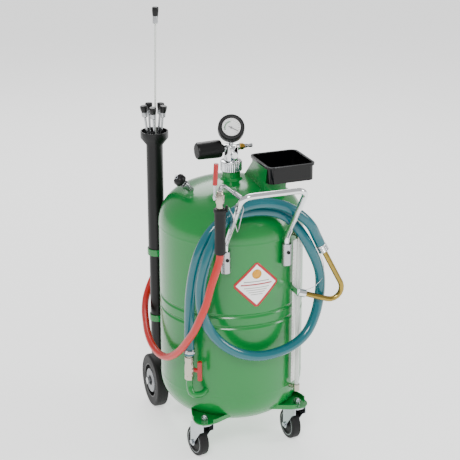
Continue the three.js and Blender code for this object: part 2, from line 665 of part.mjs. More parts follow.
function makeDrain() {
  const at = (turn, standoff, drop) => orbit(
    DRAIN_ANGLE + turn, TANK_RADIUS + standoff, DRAIN_VALVE_BOTTOM - drop);
  const pipe = swept([at(9, -6, 40), at(7, 14, 46), at(2.5, DRAIN_STANDOFF + 3, 40),
    at(0, DRAIN_STANDOFF, 18), at(0, DRAIN_STANDOFF, GAP)], DRAIN_PIPE_RADIUS, 10, 12);
  add('drain_pipe', trimmedToTank(pipe), GREEN);

  const group = groupAt(DRAIN_PLACE, DRAIN_ANGLE);
  const low = DRAIN_VALVE_BOTTOM;
  const hex = turned([[0, low], [12.5, low], [12.5, low + 11], [0, low + 11]], 6);
  const body = turned([[0, low + 5], [10.5, low + 5], [12.5, low + 16], [12.5, low + 34],
    [10.5, DRAIN_VALVE_TOP], [0, DRAIN_VALVE_TOP]], 16);
  const middle = low + DRAIN_VALVE_LENGTH * 0.58;
  const boss = bar([0, 0, middle], [15.5, 0, middle], 7, 12);
  add('drain_valve_body', join(hex, body, boss), NICKEL, group);
  const stem = bar([15.5 + GAP, 0, middle], [DRAIN_HANDLE_REACH + 3, 0, middle], 5.5, 12);
  const grip = bar([DRAIN_HANDLE_REACH, 0, middle - DRAIN_HANDLE_HALF],
    [DRAIN_HANDLE_REACH, 0, middle + DRAIN_HANDLE_HALF], 6.2, 12);
  add('drain_handle', join(stem, grip), RED, group);
  const collar = turned([[0, DRAIN_VALVE_TOP + GAP], [12, DRAIN_VALVE_TOP + GAP],
    [12, DRAIN_COLLAR_TOP - 5], [9, DRAIN_COLLAR_TOP - 4],
    [9, DRAIN_COLLAR_TOP], [0, DRAIN_COLLAR_TOP]], 12);
  add('drain_hose_collar', collar, NICKEL, group);
}

// ---- suction inlet at the back ------------------------------------------------------------

function makeInlet() {
  const reach = TANK_RADIUS + INLET_STANDOFF;
  const body = disc(10, INLET_HEIGHT - 14, INLET_HEIGHT + 12, 12).translate(reach, 0, 0);
  const stub = bar([TANK_RADIUS - 8, 0, INLET_HEIGHT], [reach, 0, INLET_HEIGHT], 8, 12);
  const shape = join(body, stub).rotateZ(THREE.MathUtils.degToRad(INLET_ANGLE - 90));
  add('suction_inlet', trimmedToTank(shape), NICKEL);
}

// ---- rear wheels --------------------------------------------------------------------------

// A turned wheel whose flat facet, not a corner, meets the floor.
function wheelSolid(outline, sides) {
  const stretch = 1 / Math.cos(Math.PI / sides);
  return turned(outline.map(([r, h]) => [r * stretch, h]), sides)
    .rotateZ(Math.PI / sides).rotateY(Math.PI / 2);
}

function makeRearWheels() {
  const half = REAR_WHEEL_WIDTH / 2;
  const rimRadius = REAR_RIM_RADIUS;
  const bore = REAR_AXLE_RADIUS + GAP;
  for (const [sign, word] of [[-1, 'left'], [1, 'right']]) {
    const centre = groupAt(
      [sign * REAR_TRACK_HALF, REAR_WHEEL_Y, REAR_WHEEL_RADIUS], sign < 0 ? 180 : 0);
    const tyre = wheelSolid([
      [rimRadius + GAP, -half], [REAR_WHEEL_RADIUS - 7, -half], [REAR_WHEEL_RADIUS, -half + 7],
      [REAR_WHEEL_RADIUS, half - 7], [REAR_WHEEL_RADIUS - 7, half], [rimRadius + GAP, half],
      [rimRadius + GAP, -half]], 24);
    add(`rear_tyre_${word}`, tyre, TYRE, centre);
    const rim = wheelSolid([
      [bore, -half - 3], [14, -half - 3], [14, -half + 8], [rimRadius - 5, -half + 8],
      [rimRadius - 3, -half + 1], [rimRadius, -half + 1],
      [rimRadius, half - 1], [rimRadius - 3, half - 1],
      [rimRadius - 5, half - 10], [bore, half - 10], [bore, -half - 3]], 24);
    add(`rear_rim_${word}`, rim, BLACK, centre);
  }
  const end = REAR_TRACK_HALF + half + 3;
  const axle = bar([-end - 4, REAR_WHEEL_Y, REAR_WHEEL_RADIUS],
    [end + 4, REAR_WHEEL_Y, REAR_WHEEL_RADIUS], REAR_AXLE_RADIUS, 16);
  const cap = (sign) => bar([sign * end, REAR_WHEEL_Y, REAR_WHEEL_RADIUS],
    [sign * (end + 5), REAR_WHEEL_Y, REAR_WHEEL_RADIUS], 10.5, 16);
  add('rear_axle', join(axle, cap(-1), cap(1)), STEEL);

  const inside = REAR_TRACK_HALF - half - 22;
  const [y, z] = [REAR_WHEEL_Y, REAR_WHEEL_RADIUS];
  const gusset = [[TANK_RADIUS - 70, z + 20], [TANK_RADIUS - 70, TANK_LOWER_WELD],
    [TANK_RADIUS - 40, TANK_LOWER_WELD + 62], [TANK_RADIUS - 12, TANK_LOWER_WELD + 62],
    [y + 14, z + 20], [y + 14, z - 14], [y - 14, z - 16]];
  const sides = [-1, 1].map((sign) => uprightPlate(gusset, sign * inside - 2, sign * inside + 2));
  const tie = block([-inside, y - 14, z - 16], [inside, y + 14, z - 12.5]);
  const hole = bar([-inside - 9, y, z], [inside + 9, y, z], REAR_AXLE_RADIUS + GAP, 16);
  add('axle_carrier', cut(trimmedToTank(...sides, tie), hole), GREEN);
}

// ---- casters ------------------------------------------------------------------------------

function makeCasters() {
  const radialTurn = THREE.MathUtils.radToDeg(Math.atan2(CASTER_X, -CASTER_Y));
  const reach = Math.hypot(CASTER_X, CASTER_Y);
  const plateLow = CASTER_HEIGHT + GAP;
  const plateHigh = plateLow + CASTER_PLATE;
  const pinRadius = 5;
  [[-1, 'left'], [1, 'right']].forEach(([sign, word], i) => {
    const place = [sign * CASTER_X, CASTER_Y, 0];
    const half = [[27, 8], [20, 20], [0, 36], [-45, 57], [-79, 60]].map(([out, side]) => [reach + out, side]);
    const nose = plate([...half, ...half.map(([out, side]) => [out, -side]).reverse()], plateLow, plateHigh);
    const rims = [-1, 1].map((side) => plate([[10, 28], [0, 36], [-45, 57], [-46.5, 54], [-1.5, 33], [8, 25.5]]
      .map(([out, across]) => [reach + out, side * across]), plateHigh - 0.5, plateHigh + CASTER_RIM));
    const turn = THREE.MathUtils.degToRad(sign * radialTurn - 90);
    const bracket = trimmedToTank(join(nose, ...rims).rotateZ(turn));
    const pinHole = disc(pinRadius + GAP, plateLow - 5, plateHigh + 5, 14).translate(...place);
    add(`caster_bracket_${word}`, cut(bracket, pinHole), GREEN);

    const fixed = groupAt(place);
    const bolt = turned([[0, CASTER_HEIGHT - 14], [9, CASTER_HEIGHT - 14], [9, CASTER_HEIGHT - 8],
      [pinRadius, CASTER_HEIGHT - 8], [pinRadius, plateHigh + GAP], [9.5, plateHigh + GAP],
      [9.5, plateHigh + 9], [pinRadius, plateHigh + 9], [pinRadius, plateHigh + 14],
      [0, plateHigh + 14]], 12);
    add(`caster_bolt_${word}`, bolt, ZINC, fixed);

    const swivel = groupAt(place, CASTER_TURNS[i]);
    const crown = ring(pinRadius + GAP, 21, CASTER_HEIGHT - 7, CASTER_HEIGHT, 20);
    const inside = CASTER_WHEEL_WIDTH / 2 + 2.2;
    const [back, low] = [CASTER_OFFSET, CASTER_WHEEL_RADIUS];
    const leg = [[-20, CASTER_HEIGHT - 1], [20, CASTER_HEIGHT - 1], [back + 9, CASTER_HEIGHT - 16],
      [back + 10, low - 6], [back + 5, low - 11], [back - 4, low - 11], [back - 9, low - 6],
      [back - 12, low + 6], [-4, low + 42], [-20, low + 52]];
    const legs = [-1, 1].map((flank) => uprightPlate(leg,
      flank * (inside + 1.25) - 1.25, flank * (inside + 1.25) + 1.25));
    const hole = bar([-30, CASTER_OFFSET, CASTER_WHEEL_RADIUS], [30, CASTER_OFFSET, CASTER_WHEEL_RADIUS], 4.35, 12);
    add(`caster_fork_${word}`, cut(join(crown, ...legs), hole), ZINC, swivel);

    const out = inside + 2.5 + GAP;
    const rod = bar([-out - 4, CASTER_OFFSET, CASTER_WHEEL_RADIUS], [out + 4, CASTER_OFFSET, CASTER_WHEEL_RADIUS], 4, 12);
    const head = (flank) => bar([flank * out, CASTER_OFFSET, CASTER_WHEEL_RADIUS],
      [flank * (out + 4), CASTER_OFFSET, CASTER_WHEEL_RADIUS], 6.5, 6);
    add(`caster_axle_${word}`, join(rod, head(-1), head(1)), ZINC, swivel);

    const flat = CASTER_WHEEL_WIDTH / 2;
    const wheel = wheelSolid([
      [4.35, -flat - 1], [9, -flat - 1], [9, -flat + 3], [25, -flat + 3], [27, -flat], [36, -flat],
      [CASTER_WHEEL_RADIUS, -flat + 5], [CASTER_WHEEL_RADIUS, flat - 5], [36, flat], [27, flat],
      [25, flat - 3], [4.35, flat - 3], [4.35, -flat - 1]], 20);
    add(`caster_wheel_${word}`, wheel.translate(0, CASTER_OFFSET, CASTER_WHEEL_RADIUS), TYRE, swivel);
  });
}

// ---- suction wand ---------------------------------------------------------------------------

const WAND_GRIP_TOP = WAND_GRIP_BOTTOM + WAND_GRIP_LENGTH;
const WAND_VALVE_TOP = WAND_GRIP_TOP + 43;

function makeWand() {
  const group = groupAt([WAND[0], WAND[1], 0]);
  const r = WAND_GRIP_RADIUS;
  const low = WAND_GRIP_BOTTOM;
  const high = WAND_GRIP_TOP;
  const grip = turned([[0, low], [r - 2, low], [r, low + 4], [r - 1, low + 50], [r, high - 12],
    [r + 2, high - 9], [r + 2, high - 3], [r - 2, high], [0, high]], 18);
  const tab = block([11.8, -12, high - 8], [15.5, -5, high + 8]);
  add('wand_grip', join(grip, tab), BLACK, group);
  const valve = turned([[0, high + GAP], [9, high + GAP], [9, high + 12], [11, high + 14],
    [11, WAND_VALVE_TOP - 10], [7.5, WAND_VALVE_TOP - 5], [7.5, WAND_VALVE_TOP], [0, WAND_VALVE_TOP]], 12);
  const pivot = high + 28;
  const boss = bar([0, 0, pivot], [-12, 0, pivot], 6, 10);
  add('wand_valve_body', join(valve, boss), NICKEL, group);
  const eye = bar([-12 - GAP, 0, pivot], [-16, 0, pivot], 7, 12);
  const arm = block([-15.5, -4, pivot], [-12.8, 4, pivot + 38]);
  const sleeve = bar([-13, 0, pivot + 32], [-9.5, 0, pivot + LEVER_LENGTH], 6, 12);
  add('wand_lever', join(eye, arm, sleeve), RED, group);
  const top = WAND_VALVE_TOP + GAP;
  const spout = bentRod([[0, 0, top], [0, 0, top + 20], [50, 0, top - 20]], 8, 4.8, 8);
  const tip = bar([36, 0, top - 8], [52, 0, top - 22], 6.6, 12);
  add('wand_spout', join(spout, tip), CHROME, group);
}

// ---- hoses and nozzle -------------------------------------------------------------------------

// The discharge hose rises from the drain, hangs over the handle's legs in two loose turns
// and ends in the bent nozzle.
const DISCHARGE_ROUTE = [
  [DRAIN_PLACE[0], DRAIN_PLACE[1], DRAIN_COLLAR_TOP + GAP], [-171, -144, 338],
  [-172, -149, 372], [-174, -156, 408], [-176, -164, 444], [-177, -173, 484], [-173, -185, 546],
  [-161, -194, 604], [-141, -196, 644], [-112, -194, 673], [-72, -190, 690], [-26, -188, 695],
  [20, -186, 691], [54, -186, 681], [82, -189, 663], [104, -196, 638], [122, -203, 609],
  [138, -206, 577], [155, -202, 543], [168, -195, 508], [173, -190, 472], [170, -190, 432],
  [157, -196, 390], [132, -204, 350], [95, -211, 325], [45, -216, 312], [-7, -218, 311],
  [-56, -218, 325], [-93, -217, 348], [-120, -215, 374], [-141, -213, 405], [-156, -213, 440],
  [-165, -216, 490], [-164, -221, 540], [-152, -226, 596], [-131, -226, 648], [-102, -221, 692],
  [-62, -216, 717], [-22, -215, 724], [18, -215, 721], [60, -218, 708], [100, -220, 681],
  [132, -216, 647], [152, -208, 612], [162.3, -206.5, 591],
];

// The suction hose runs from the inlet at the back, past the probe holder, to the wand.
const SUCTION_ROUTE = [
  orbit(INLET_ANGLE, TANK_RADIUS + INLET_STANDOFF, INLET_HEIGHT - 14 - GAP),
  orbit(INLET_ANGLE, TANK_RADIUS + INLET_STANDOFF, 520),
  [-100, 210, 480], [-114, 221, 440], [-136, 224, 400], [-160, 212, 364], [-180, 186, 338],
  [-195, 150, 320], [-207, 105, 306], [-217, 60, 294], [-221, 22, 284], [-220, -12, 276],
  [-218, -46, 276], [-212, -84, 284], [-204, -119, 304], [-196, -152, 333], [-190, -182, 366],
  [-182, -210, 402], [-174, -233, 444], [-163, -249, 488], [-152, -257, 540], [-140, -261, 580],
  [-132.5, -262, 606], [WAND[0], WAND[1], WAND_GRIP_BOTTOM - 1.4],
];

const NOZZLE_START = [173.7, -208.2, 569];
const NOZZLE_BEND = [249, -226, 417];
const NOZZLE_TIP = [110, -205, 464.5];

function makeHoses() {
  add('discharge_hose', swept(DISCHARGE_ROUTE, DISCHARGE_HOSE_RADIUS, 8, 48), TEAL_HOSE);
  add('suction_hose', swept(SUCTION_ROUTE, SUCTION_HOSE_RADIUS, 8, 26), RED_HOSE);
  const end = new THREE.Vector3(...DISCHARGE_ROUTE[DISCHARGE_ROUTE.length - 1]);
  const start = new THREE.Vector3(...NOZZLE_START);
  const along = start.clone().sub(end).normalize();
  const face = end.clone().addScaledVector(along, 2);
  const back = start.clone().addScaledVector(along, -GAP - 0.5);
  add('hose_ferrule', bar(face.toArray(), back.toArray(), DISCHARGE_HOSE_RADIUS + 0.8, 18), ZINC);
  add('nozzle_tube', bentRod([NOZZLE_START, NOZZLE_BEND, NOZZLE_TIP], 30, NOZZLE_RADIUS, 10), GOLD_ZINC);
}

// A cup welded to the tank holds the tip of the nozzle.
function makeNozzleCup() {
  const tip = new THREE.Vector3(...NOZZLE_TIP);
  const along = tip.clone().sub(new THREE.Vector3(...NOZZLE_BEND)).normalize();
  const mouth = tip.clone().addScaledVector(along, -14);
  const back = tip.clone().addScaledVector(along, 5);
  const bottom = tip.clone().addScaledVector(along, 1);
  const shell = bar(mouth.toArray(), back.toArray(), NOZZLE_RADIUS + 3.5, 18);
  const bore = bar(mouth.clone().addScaledVector(along, -2).toArray(), bottom.toArray(), NOZZLE_RADIUS + 0.6, 18);
  const arm = block([back.x - 3, tip.y, tip.z - 8], [back.x + 3, tip.y + 60, tip.z + 10]);
  add('nozzle_cup', trimmedToTank(cut(join(shell, arm), bore)), CHROME);
}

// ---- assembly -----------------------------------------------------------------------------------

makeTank();
makeHead();
makeGauge();
makeRelief();
makeHandle();
makeHook();
makeTray();
makeHolder();
makeProbes();
makeSightGlass();
makeDrain();
makeInlet();
makeRearWheels();
makeCasters();
makeWand();
makeHoses();
makeNozzleCup();

// The origin is the middle of the footprint of everything but the hoses and the nozzle.
const LOOSE = ['discharge_hose', 'suction_hose', 'hose_ferrule', 'nozzle_tube'];

function centreOnFootprint() {
  model.updateMatrixWorld(true);
  const box = new THREE.Box3();
  model.traverse((item) => {
    if (item.isMesh && !LOOSE.includes(item.name)) box.expandByObject(item, true);
  });
  model.position.set(-(box.min.x + box.max.x) / 2, -(box.min.y + box.max.y) / 2, -box.min.z);
}

centreOnFootprint();

export default model;
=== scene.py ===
"""A wheeled suction drainer for used oil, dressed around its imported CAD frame."""
import json
import math

import bmesh
import bpy
from mathutils import Matrix, Vector


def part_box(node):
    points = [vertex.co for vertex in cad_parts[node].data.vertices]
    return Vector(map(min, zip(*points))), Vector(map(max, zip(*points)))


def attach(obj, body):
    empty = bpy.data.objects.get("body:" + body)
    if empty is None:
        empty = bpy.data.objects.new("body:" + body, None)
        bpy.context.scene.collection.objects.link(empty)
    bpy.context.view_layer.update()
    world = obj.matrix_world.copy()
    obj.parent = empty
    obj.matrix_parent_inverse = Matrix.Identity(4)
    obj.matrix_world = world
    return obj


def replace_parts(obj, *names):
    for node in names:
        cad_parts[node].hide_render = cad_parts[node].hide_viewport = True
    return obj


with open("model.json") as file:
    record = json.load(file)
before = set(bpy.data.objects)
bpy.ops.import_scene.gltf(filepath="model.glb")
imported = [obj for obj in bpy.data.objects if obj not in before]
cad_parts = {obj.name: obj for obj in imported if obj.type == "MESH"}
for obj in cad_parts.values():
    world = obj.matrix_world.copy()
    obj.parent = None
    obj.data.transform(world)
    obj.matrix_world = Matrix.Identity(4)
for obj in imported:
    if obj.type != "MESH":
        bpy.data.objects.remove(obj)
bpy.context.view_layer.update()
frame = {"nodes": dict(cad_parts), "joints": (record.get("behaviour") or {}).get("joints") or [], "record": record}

bl_info = {
    "name": "Suction Drainer",
    "version": (1, 0, 0),
    "blender": (4, 5, 0),
    "location": "View3D > Sidebar > Drainer",
    "description": "Makes the pieces and finishes of a wheeled suction drainer",
    "category": "Object",
}

MM = 0.001
ROOT = "frame"

# ---- where the CAD puts things -----------------------------------------------------------

_low, _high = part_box("tank_shell")
AXIS = Vector(((_low.x + _high.x) / 2, (_low.y + _high.y) / 2, 0))
TANK_RADIUS = round((_high.x - _low.x) / 2 / MM, 1)


def at(x, y, z):
    """A point given in millimetres from the foot of the tank's axis, in the row frame."""
    return AXIS + Vector((x, y, z)) * MM


def orbit(degrees, radius, height=0):
    """A point round the tank, in millimetres: 0 degrees is the front, 90 the tray side."""
    turn = math.radians(degrees)
    return at(radius * math.sin(turn), -radius * math.cos(turn), height)


def centre_of(node):
    """The middle of a CAD node's box."""
    low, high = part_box(node)
    return (low + high) / 2


def facing(point, direction):
    """A placement whose +Z runs along a direction and whose +Y is as upright as it can be."""
    z = Vector(direction).normalized()
    up = Vector((0, 0, 1)) if abs(z.z) < 0.99 else Vector((0, 1, 0))
    x = up.cross(z).normalized()
    turn = Matrix((x, z.cross(x), z)).transposed().to_4x4()
    return Matrix.Translation(point) @ turn


# ---- materials ---------------------------------------------------------------------------

# The size of the slow changes of colour and gloss, in millimetres, and the gloss's spread.
CLOUD_SIZE = 60
GLOSS_LOW, GLOSS_HIGH = 0.85, 1.15


def linear(hex_colour, alpha=1.0):
    """An sRGB hex colour as the linear values that shaders take."""
    parts = [((hex_colour >> shift) & 255) / 255 for shift in (16, 8, 0)]
    return [c / 12.92 if c <= 0.04045 else ((c + 0.055) / 1.055) ** 2.4 for c in parts] + [alpha]


def add_node(tree, kind, inputs=None, **settings):
    """Adds a node, sets its properties, and sets or links its inputs."""
    node = tree.nodes.new(kind)
    for name, value in settings.items():
        setattr(node, name, value)
    for socket, value in (inputs or {}).items():
        if isinstance(value, bpy.types.NodeSocket):
            tree.links.new(value, node.inputs[socket])
        else:
            node.inputs[socket].default_value = value
    return node


def surface(name, colour, rough, metallic=0.0, grain=1.0, relief=0.01, shade=0.08,
            stretch=(1, 1, 1), fixed=None):
    """A finish whose colour, gloss and relief vary with a grain of that size in millimetres.

    shade is how much darker the hollows of the grain are, and fixed holds the shader's own
    constants, such as its coat."""
    material = bpy.data.materials.new(name)
    material.use_nodes = True
    tree = material.node_tree
    shader = tree.nodes["Principled BSDF"]
    place = add_node(tree, "ShaderNodeTexCoord")
    drawn = add_node(tree, "ShaderNodeMapping", {"Vector": place.outputs["Object"]})
    drawn.inputs["Scale"].default_value = stretch
    grains = add_node(tree, "ShaderNodeTexNoise", {
        "Vector": drawn.outputs["Vector"], "Scale": 1 / (grain * MM), "Detail": 3.0})
    clouds = add_node(tree, "ShaderNodeTexNoise", {
        "Vector": place.outputs["Object"], "Scale": 1 / (CLOUD_SIZE * MM), "Detail": 2.0})
    blend = add_node(tree, "ShaderNodeMath", {
        0: grains.outputs["Fac"], 1: clouds.outputs["Fac"]}, operation="MULTIPLY")
    base = linear(colour)
    dark = [c * (1 - shade) for c in base[:3]] + [1]
    light = [min(1, c * (1 + shade / 2)) for c in base[:3]] + [1]
    tint = add_node(tree, "ShaderNodeMix", {
        "Factor": blend.outputs[0], 6: dark, 7: light}, data_type="RGBA")
    gloss = add_node(tree, "ShaderNodeMapRange", {
        "Value": clouds.outputs["Fac"], "To Min": rough * GLOSS_LOW,
        "To Max": min(1, rough * GLOSS_HIGH)})
    lumps = add_node(tree, "ShaderNodeBump", {
        "Height": grains.outputs["Fac"], "Distance": relief * MM, "Strength": 1.0})
    tree.links.new(tint.outputs[2], shader.inputs["Base Color"])
    tree.links.new(gloss.outputs[0], shader.inputs["Roughness"])
    tree.links.new(lumps.outputs[0], shader.inputs["Normal"])
    shader.inputs["Metallic"].default_value = metallic
    for socket, value in (fixed or {}).items():
        shader.inputs[socket].default_value = value
    material.diffuse_color = base
    return material


# Constants of the shader's own sockets: a wet coat, a waxy coat and a less mirror-like black.
CLEARCOAT = {"Coat Weight": 0.2, "Coat Roughness": 0.05}
LACQUER = {"Coat Weight": 0.15, "Coat Roughness": 0.15}
DEEP_BLACK = {"Specular IOR Level": 0.3}

FINISHES = {}


def make_finishes():
    """Every finish of the drainer, by the record's material slot or by its own name."""
    colours = bpy.context.scene.drainer_colours

    def chosen(name):
        return int(getattr(colours, name), 16)

    f = FINISHES
    # Gloss polyester powder coat: flows out smooth with a faint orange peel.
    f["green_paint"] = surface("gloss_powder_coat", chosen("tank"), 0.24, grain=3.5,
                               relief=0.012, shade=0.05, fixed=CLEARCOAT)
    # Bright chrome on polished steel: a mirror with a hardly seen polishing haze.
    f["chrome"] = surface("bright_chrome_plate", 0xE6E8EA, 0.07, 1.0, grain=9, relief=0.004,
                          shade=0.04)
    # Drawn stainless tube and sheet: fine upright lines soften its reflections.
    f["brushed_steel"] = surface("drawn_stainless", 0xB9BBBD, 0.27, 1.0, grain=0.8,
                                 relief=0.012, shade=0.16, stretch=(1, 1, 0.06))
    # Satin nickel over turned brass: warm grey, with the lathe's marks just showing.
    f["nickel"] = surface("satin_nickel_plate", 0xBDB5A5, 0.2, 1.0, grain=0.9,
                          relief=0.012, shade=0.12, stretch=(1, 1, 4))
    # Bright zinc on pressed sheet: bluish white with a cloudy spangle.
    f["zinc"] = surface("bright_zinc_plate", 0xC6CCD1, 0.26, 1.0, grain=5, relief=0.01,
                        shade=0.2)
    # Free-cutting brass straight from the lathe.
    f["brass"] = surface("machined_brass", 0xB08A38, 0.2, 1.0, grain=0.8, relief=0.01,
                         shade=0.14)
    # Yellow passivated zinc on bent tube: pale gold that drifts in hue.
    f["yellow_zinc"] = surface("yellow_passivated_zinc", 0xA38B45, 0.22, 1.0, grain=7,
                               relief=0.006, shade=0.22)
    # Crimped aluminium sleeve: bright, with pressing marks.
    f["crimped_aluminium"] = surface("crimped_aluminium", 0xD9DBDD, 0.24, 1.0, grain=1.6,
                                     relief=0.03, shade=0.16)
    # Moulded nitrile rubber: matt, with a fine mould texture.
    f["black_rubber"] = surface("moulded_nitrile", 0x0D0D0E, 0.5, grain=1.0, relief=0.02,
                                shade=0.3, fixed=DEEP_BLACK)
    # Solid tyre rubber: dusty grey-black.
    f["tyre"] = surface("solid_tyre_rubber", 0x121213, 0.6, grain=1.6, relief=0.03, shade=0.35,
                        fixed=DEEP_BLACK)
    # Glass-filled nylon moulding: nearly matt with a pebbled skin.
    f["black_plastic"] = surface("moulded_nylon", 0x0B0B0C, 0.36, grain=1.1, relief=0.02,
                                 shade=0.25, fixed=DEEP_BLACK)
    # Glossy ABS sheet, formed over a mould: rolled edges catch a long highlight.
    f["gloss_black"] = surface("formed_gloss_abs", 0x060607, 0.13, grain=4, relief=0.01,
                               shade=0.15, fixed=DEEP_BLACK)
    # Screen-printed enamel on a pressed dial.
    f["gauge_case"] = surface("dial_enamel", 0xFEFEFC, 0.35, grain=2, relief=0.002, shade=0.02)
    # Soft PVC dipped over steel levers: waxy and saturated.
    f["red_grip"] = surface("dipped_pvc", 0xA8080C, 0.3, grain=2.5, relief=0.02, shade=0.1,
                            fixed=LACQUER)
    f["wand_lever"] = f["red_grip"]
    # Worn steel spout: a coarse, uneven skin breaks up its highlights.
    f["wand_spout"] = surface("worn_steel_tube", 0xB4B6B9, 0.25, 1.0, grain=1.5,
                              relief=0.12, shade=0.35)
    # Milky polyamide tube: lets some light through.
    f["sight_tube"] = surface("milky_polyamide", 0xE6EAE4, 0.22, grain=3, relief=0.003,
                              shade=0.04, fixed={"Transmission Weight": 0.35})
    f["probe_long"] = f["sight_tube"]
    # Flexible PVC hose: deep teal, with a wet gloss and slow changes of shade.
    f["teal_hose"] = surface("teal_flexible_pvc", chosen("discharge"), 0.16, grain=6,
                             relief=0.004, shade=0.18, fixed=CLEARCOAT)
    # Smooth rubber hose cover, coral red with a soft sheen.
    f["red_hose"] = surface("red_hose_rubber", chosen("suction"), 0.34, grain=1.4,
                            relief=0.012, shade=0.1)
    # Printed vinyl films of the generic front label.
    f["label_white"] = surface("white_vinyl_film", 0xFDFDFB, 0.4, grain=2, relief=0.002,
                               shade=0.02)
    f["label_red"] = surface("red_vinyl_film", 0xB0101C, 0.35, grain=2, relief=0.002, shade=0.04)
    f["label_grey"] = surface("grey_print", 0x8C8A86, 0.5, grain=2, relief=0.002, shade=0.05)
    f["label_yellow"] = surface("amber_print", 0xE09A12, 0.4, grain=2, relief=0.002, shade=0.05)
    # Green band printed on the dial.
    f["dial_green"] = surface("dial_green_print", 0x0E7A38, 0.4, grain=2, relief=0.002,
                              shade=0.04)
    f["dial_black"] = surface("dial_black_print", 0x141414, 0.45, grain=2, relief=0.002,
                              shade=0.05)
    # Grey moulded hub cap.
    f["hub_grey"] = surface("grey_polypropylene", 0x8E9194, 0.42, grain=1.5, relief=0.015,
                            shade=0.1)
    # Clear acrylic window of the gauge, slightly crowned.
    f["window"] = surface("clear_acrylic", 0xFFFFFF, 0.03, grain=5, relief=0.0005, shade=0.0,
                          fixed={"Alpha": 0.12, "IOR": 1.49})


# ---- mesh helpers ------------------------------------------------------------------------


def keep(mesh, name, finish, body=ROOT, place=None):
    """Links a mesh as a piece of the drainer that rides on a body."""
    for face in mesh.polygons:
        face.use_smooth = True
    piece = bpy.data.objects.new(name, mesh)
    bpy.context.scene.collection.objects.link(piece)
    mesh.materials.append(FINISHES[finish])
    if place is not None:
        mesh.transform(place)
    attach(piece, body)
    return piece


def from_bmesh(form, name):
    """A named mesh from a bmesh, with its faces turned outwards."""
    bmesh.ops.recalc_face_normals(form, faces=form.faces)
    mesh = bpy.data.meshes.new(name)
    form.to_mesh(mesh)
    form.free()
    return mesh


def turned(name, outline, finish, segments=64, place=None, body=ROOT, ripple=None):
    """A piece turned round +Z from an outline of (radius, height) in millimetres.

    A closed outline gives a ring. ripple is (count, depth, low, high): that many ridges
    round the piece between two heights."""
    form = bmesh.new()
    closed = outline[0] == outline[-1]
    rows = outline[:-1] if closed else outline
    rings = []
    for radius, height in rows:
        if radius < 1e-6:
            rings.append([form.verts.new((0, 0, height * MM))])
            continue
        ring = []
        for i in range(segments):
            turn = 2 * math.pi * i / segments
            reach = radius
            if ripple and ripple[2] <= height <= ripple[3]:
                reach -= ripple[1] * (0.5 - 0.5 * math.cos(turn * ripple[0]))
            ring.append(form.verts.new((reach * MM * math.cos(turn),
                                        reach * MM * math.sin(turn), height * MM)))
        rings.append(ring)
    pairs = list(zip(rings, rings[1:] + rings[:1])) if closed else list(zip(rings, rings[1:]))
    for a, b in pairs:
        for i in range(segments):
            j = (i + 1) % segments
            corners = [a[i % len(a)], a[j % len(a)], b[j % len(b)], b[i % len(b)]]
            form.faces.new(list(dict.fromkeys(corners)))
    piece = keep(from_bmesh(form, name), name, finish, body, place)
    soften(piece, 0.4, 32)
    return piece


def soften(piece, width, angle):
    """Rounds a piece's hard edges by a width in millimetres and evens its shading."""
    bevel = piece.modifiers.new("edges", "BEVEL")
    bevel.width = width * MM
    bevel.segments = 2
    bevel.limit_method = "ANGLE"
    bevel.angle_limit = math.radians(angle)
    piece.modifiers.new("shading", "WEIGHTED_NORMAL")


def block(name, size, finish, place, body=ROOT, round_by=0.4):
    """A box with rounded edges, its size in millimetres, centred on a placement."""
    form = bmesh.new()
    bmesh.ops.create_cube(form, size=1)
    bmesh.ops.scale(form, vec=[s * MM for s in size], verts=form.verts)
    piece = keep(from_bmesh(form, name), name, finish, body, place)
    soften(piece, round_by, 40)
    return piece


def through(points, spacing=4):
    """A smooth line through points: centripetal, so that it never loops between them."""
    ends = [2 * points[0] - points[1], *points, 2 * points[-1] - points[-2]]
    line = []
    for before, a, b, after in zip(ends, ends[1:], ends[2:], ends[3:]):
        d0, d1, d2 = [math.sqrt((q - p).length) for p, q in ((before, a), (a, b), (b, after))]
        leave = ((a - before) / d0 - (b - before) / (d0 + d1) + (b - a) / d1) * d1
        arrive = ((b - a) / d1 - (after - a) / (d1 + d2) + (after - b) / d2) * d1
        steps = max(2, math.ceil((b - a).length / (spacing * MM)))
        for i in range(steps):
            t = i / steps
            line.append(a * (2 * t ** 3 - 3 * t ** 2 + 1) + leave * (t ** 3 - 2 * t ** 2 + t)
                        + b * (3 * t ** 2 - 2 * t ** 3) + arrive * (t ** 3 - t ** 2))
    return line + [points[-1]]


def bent_round(name, line, diameter, finish, body=ROOT):
    """A round rod or hose along a line of points, as a curve; diameter in millimetres."""
    curve = bpy.data.curves.new(name, "CURVE")
    curve.dimensions = "3D"
    curve.bevel_depth = diameter / 2 * MM
    curve.bevel_resolution = 6
    curve.use_fill_caps = True
    spline = curve.splines.new("POLY")
    spline.points.add(len(line) - 1)
    for spot, point in zip(spline.points, line):
        spot.co = (*point, 1)
    spline.use_smooth = True
    curve.materials.append(FINISHES[finish])
    piece = bpy.data.objects.new(name, curve)
    bpy.context.scene.collection.objects.link(piece)
    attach(piece, body)
    return piece


# ---- settings ----------------------------------------------------------------------------


class DrainerSizes(bpy.types.PropertyGroup):
    """Sizes that a user may change."""

    discharge_diameter: bpy.props.FloatProperty(
        name="Discharge hose", description="Outside diameter of the discharge hose",
        default=0.026, unit="LENGTH")
    suction_diameter: bpy.props.FloatProperty(
        name="Suction hose", description="Outside diameter of the suction hose",
        default=0.019, unit="LENGTH")
    seam_height: bpy.props.FloatProperty(
        name="Weld seam", description="How far the tank's weld seams stand proud",
        default=0.0006, unit="LENGTH")


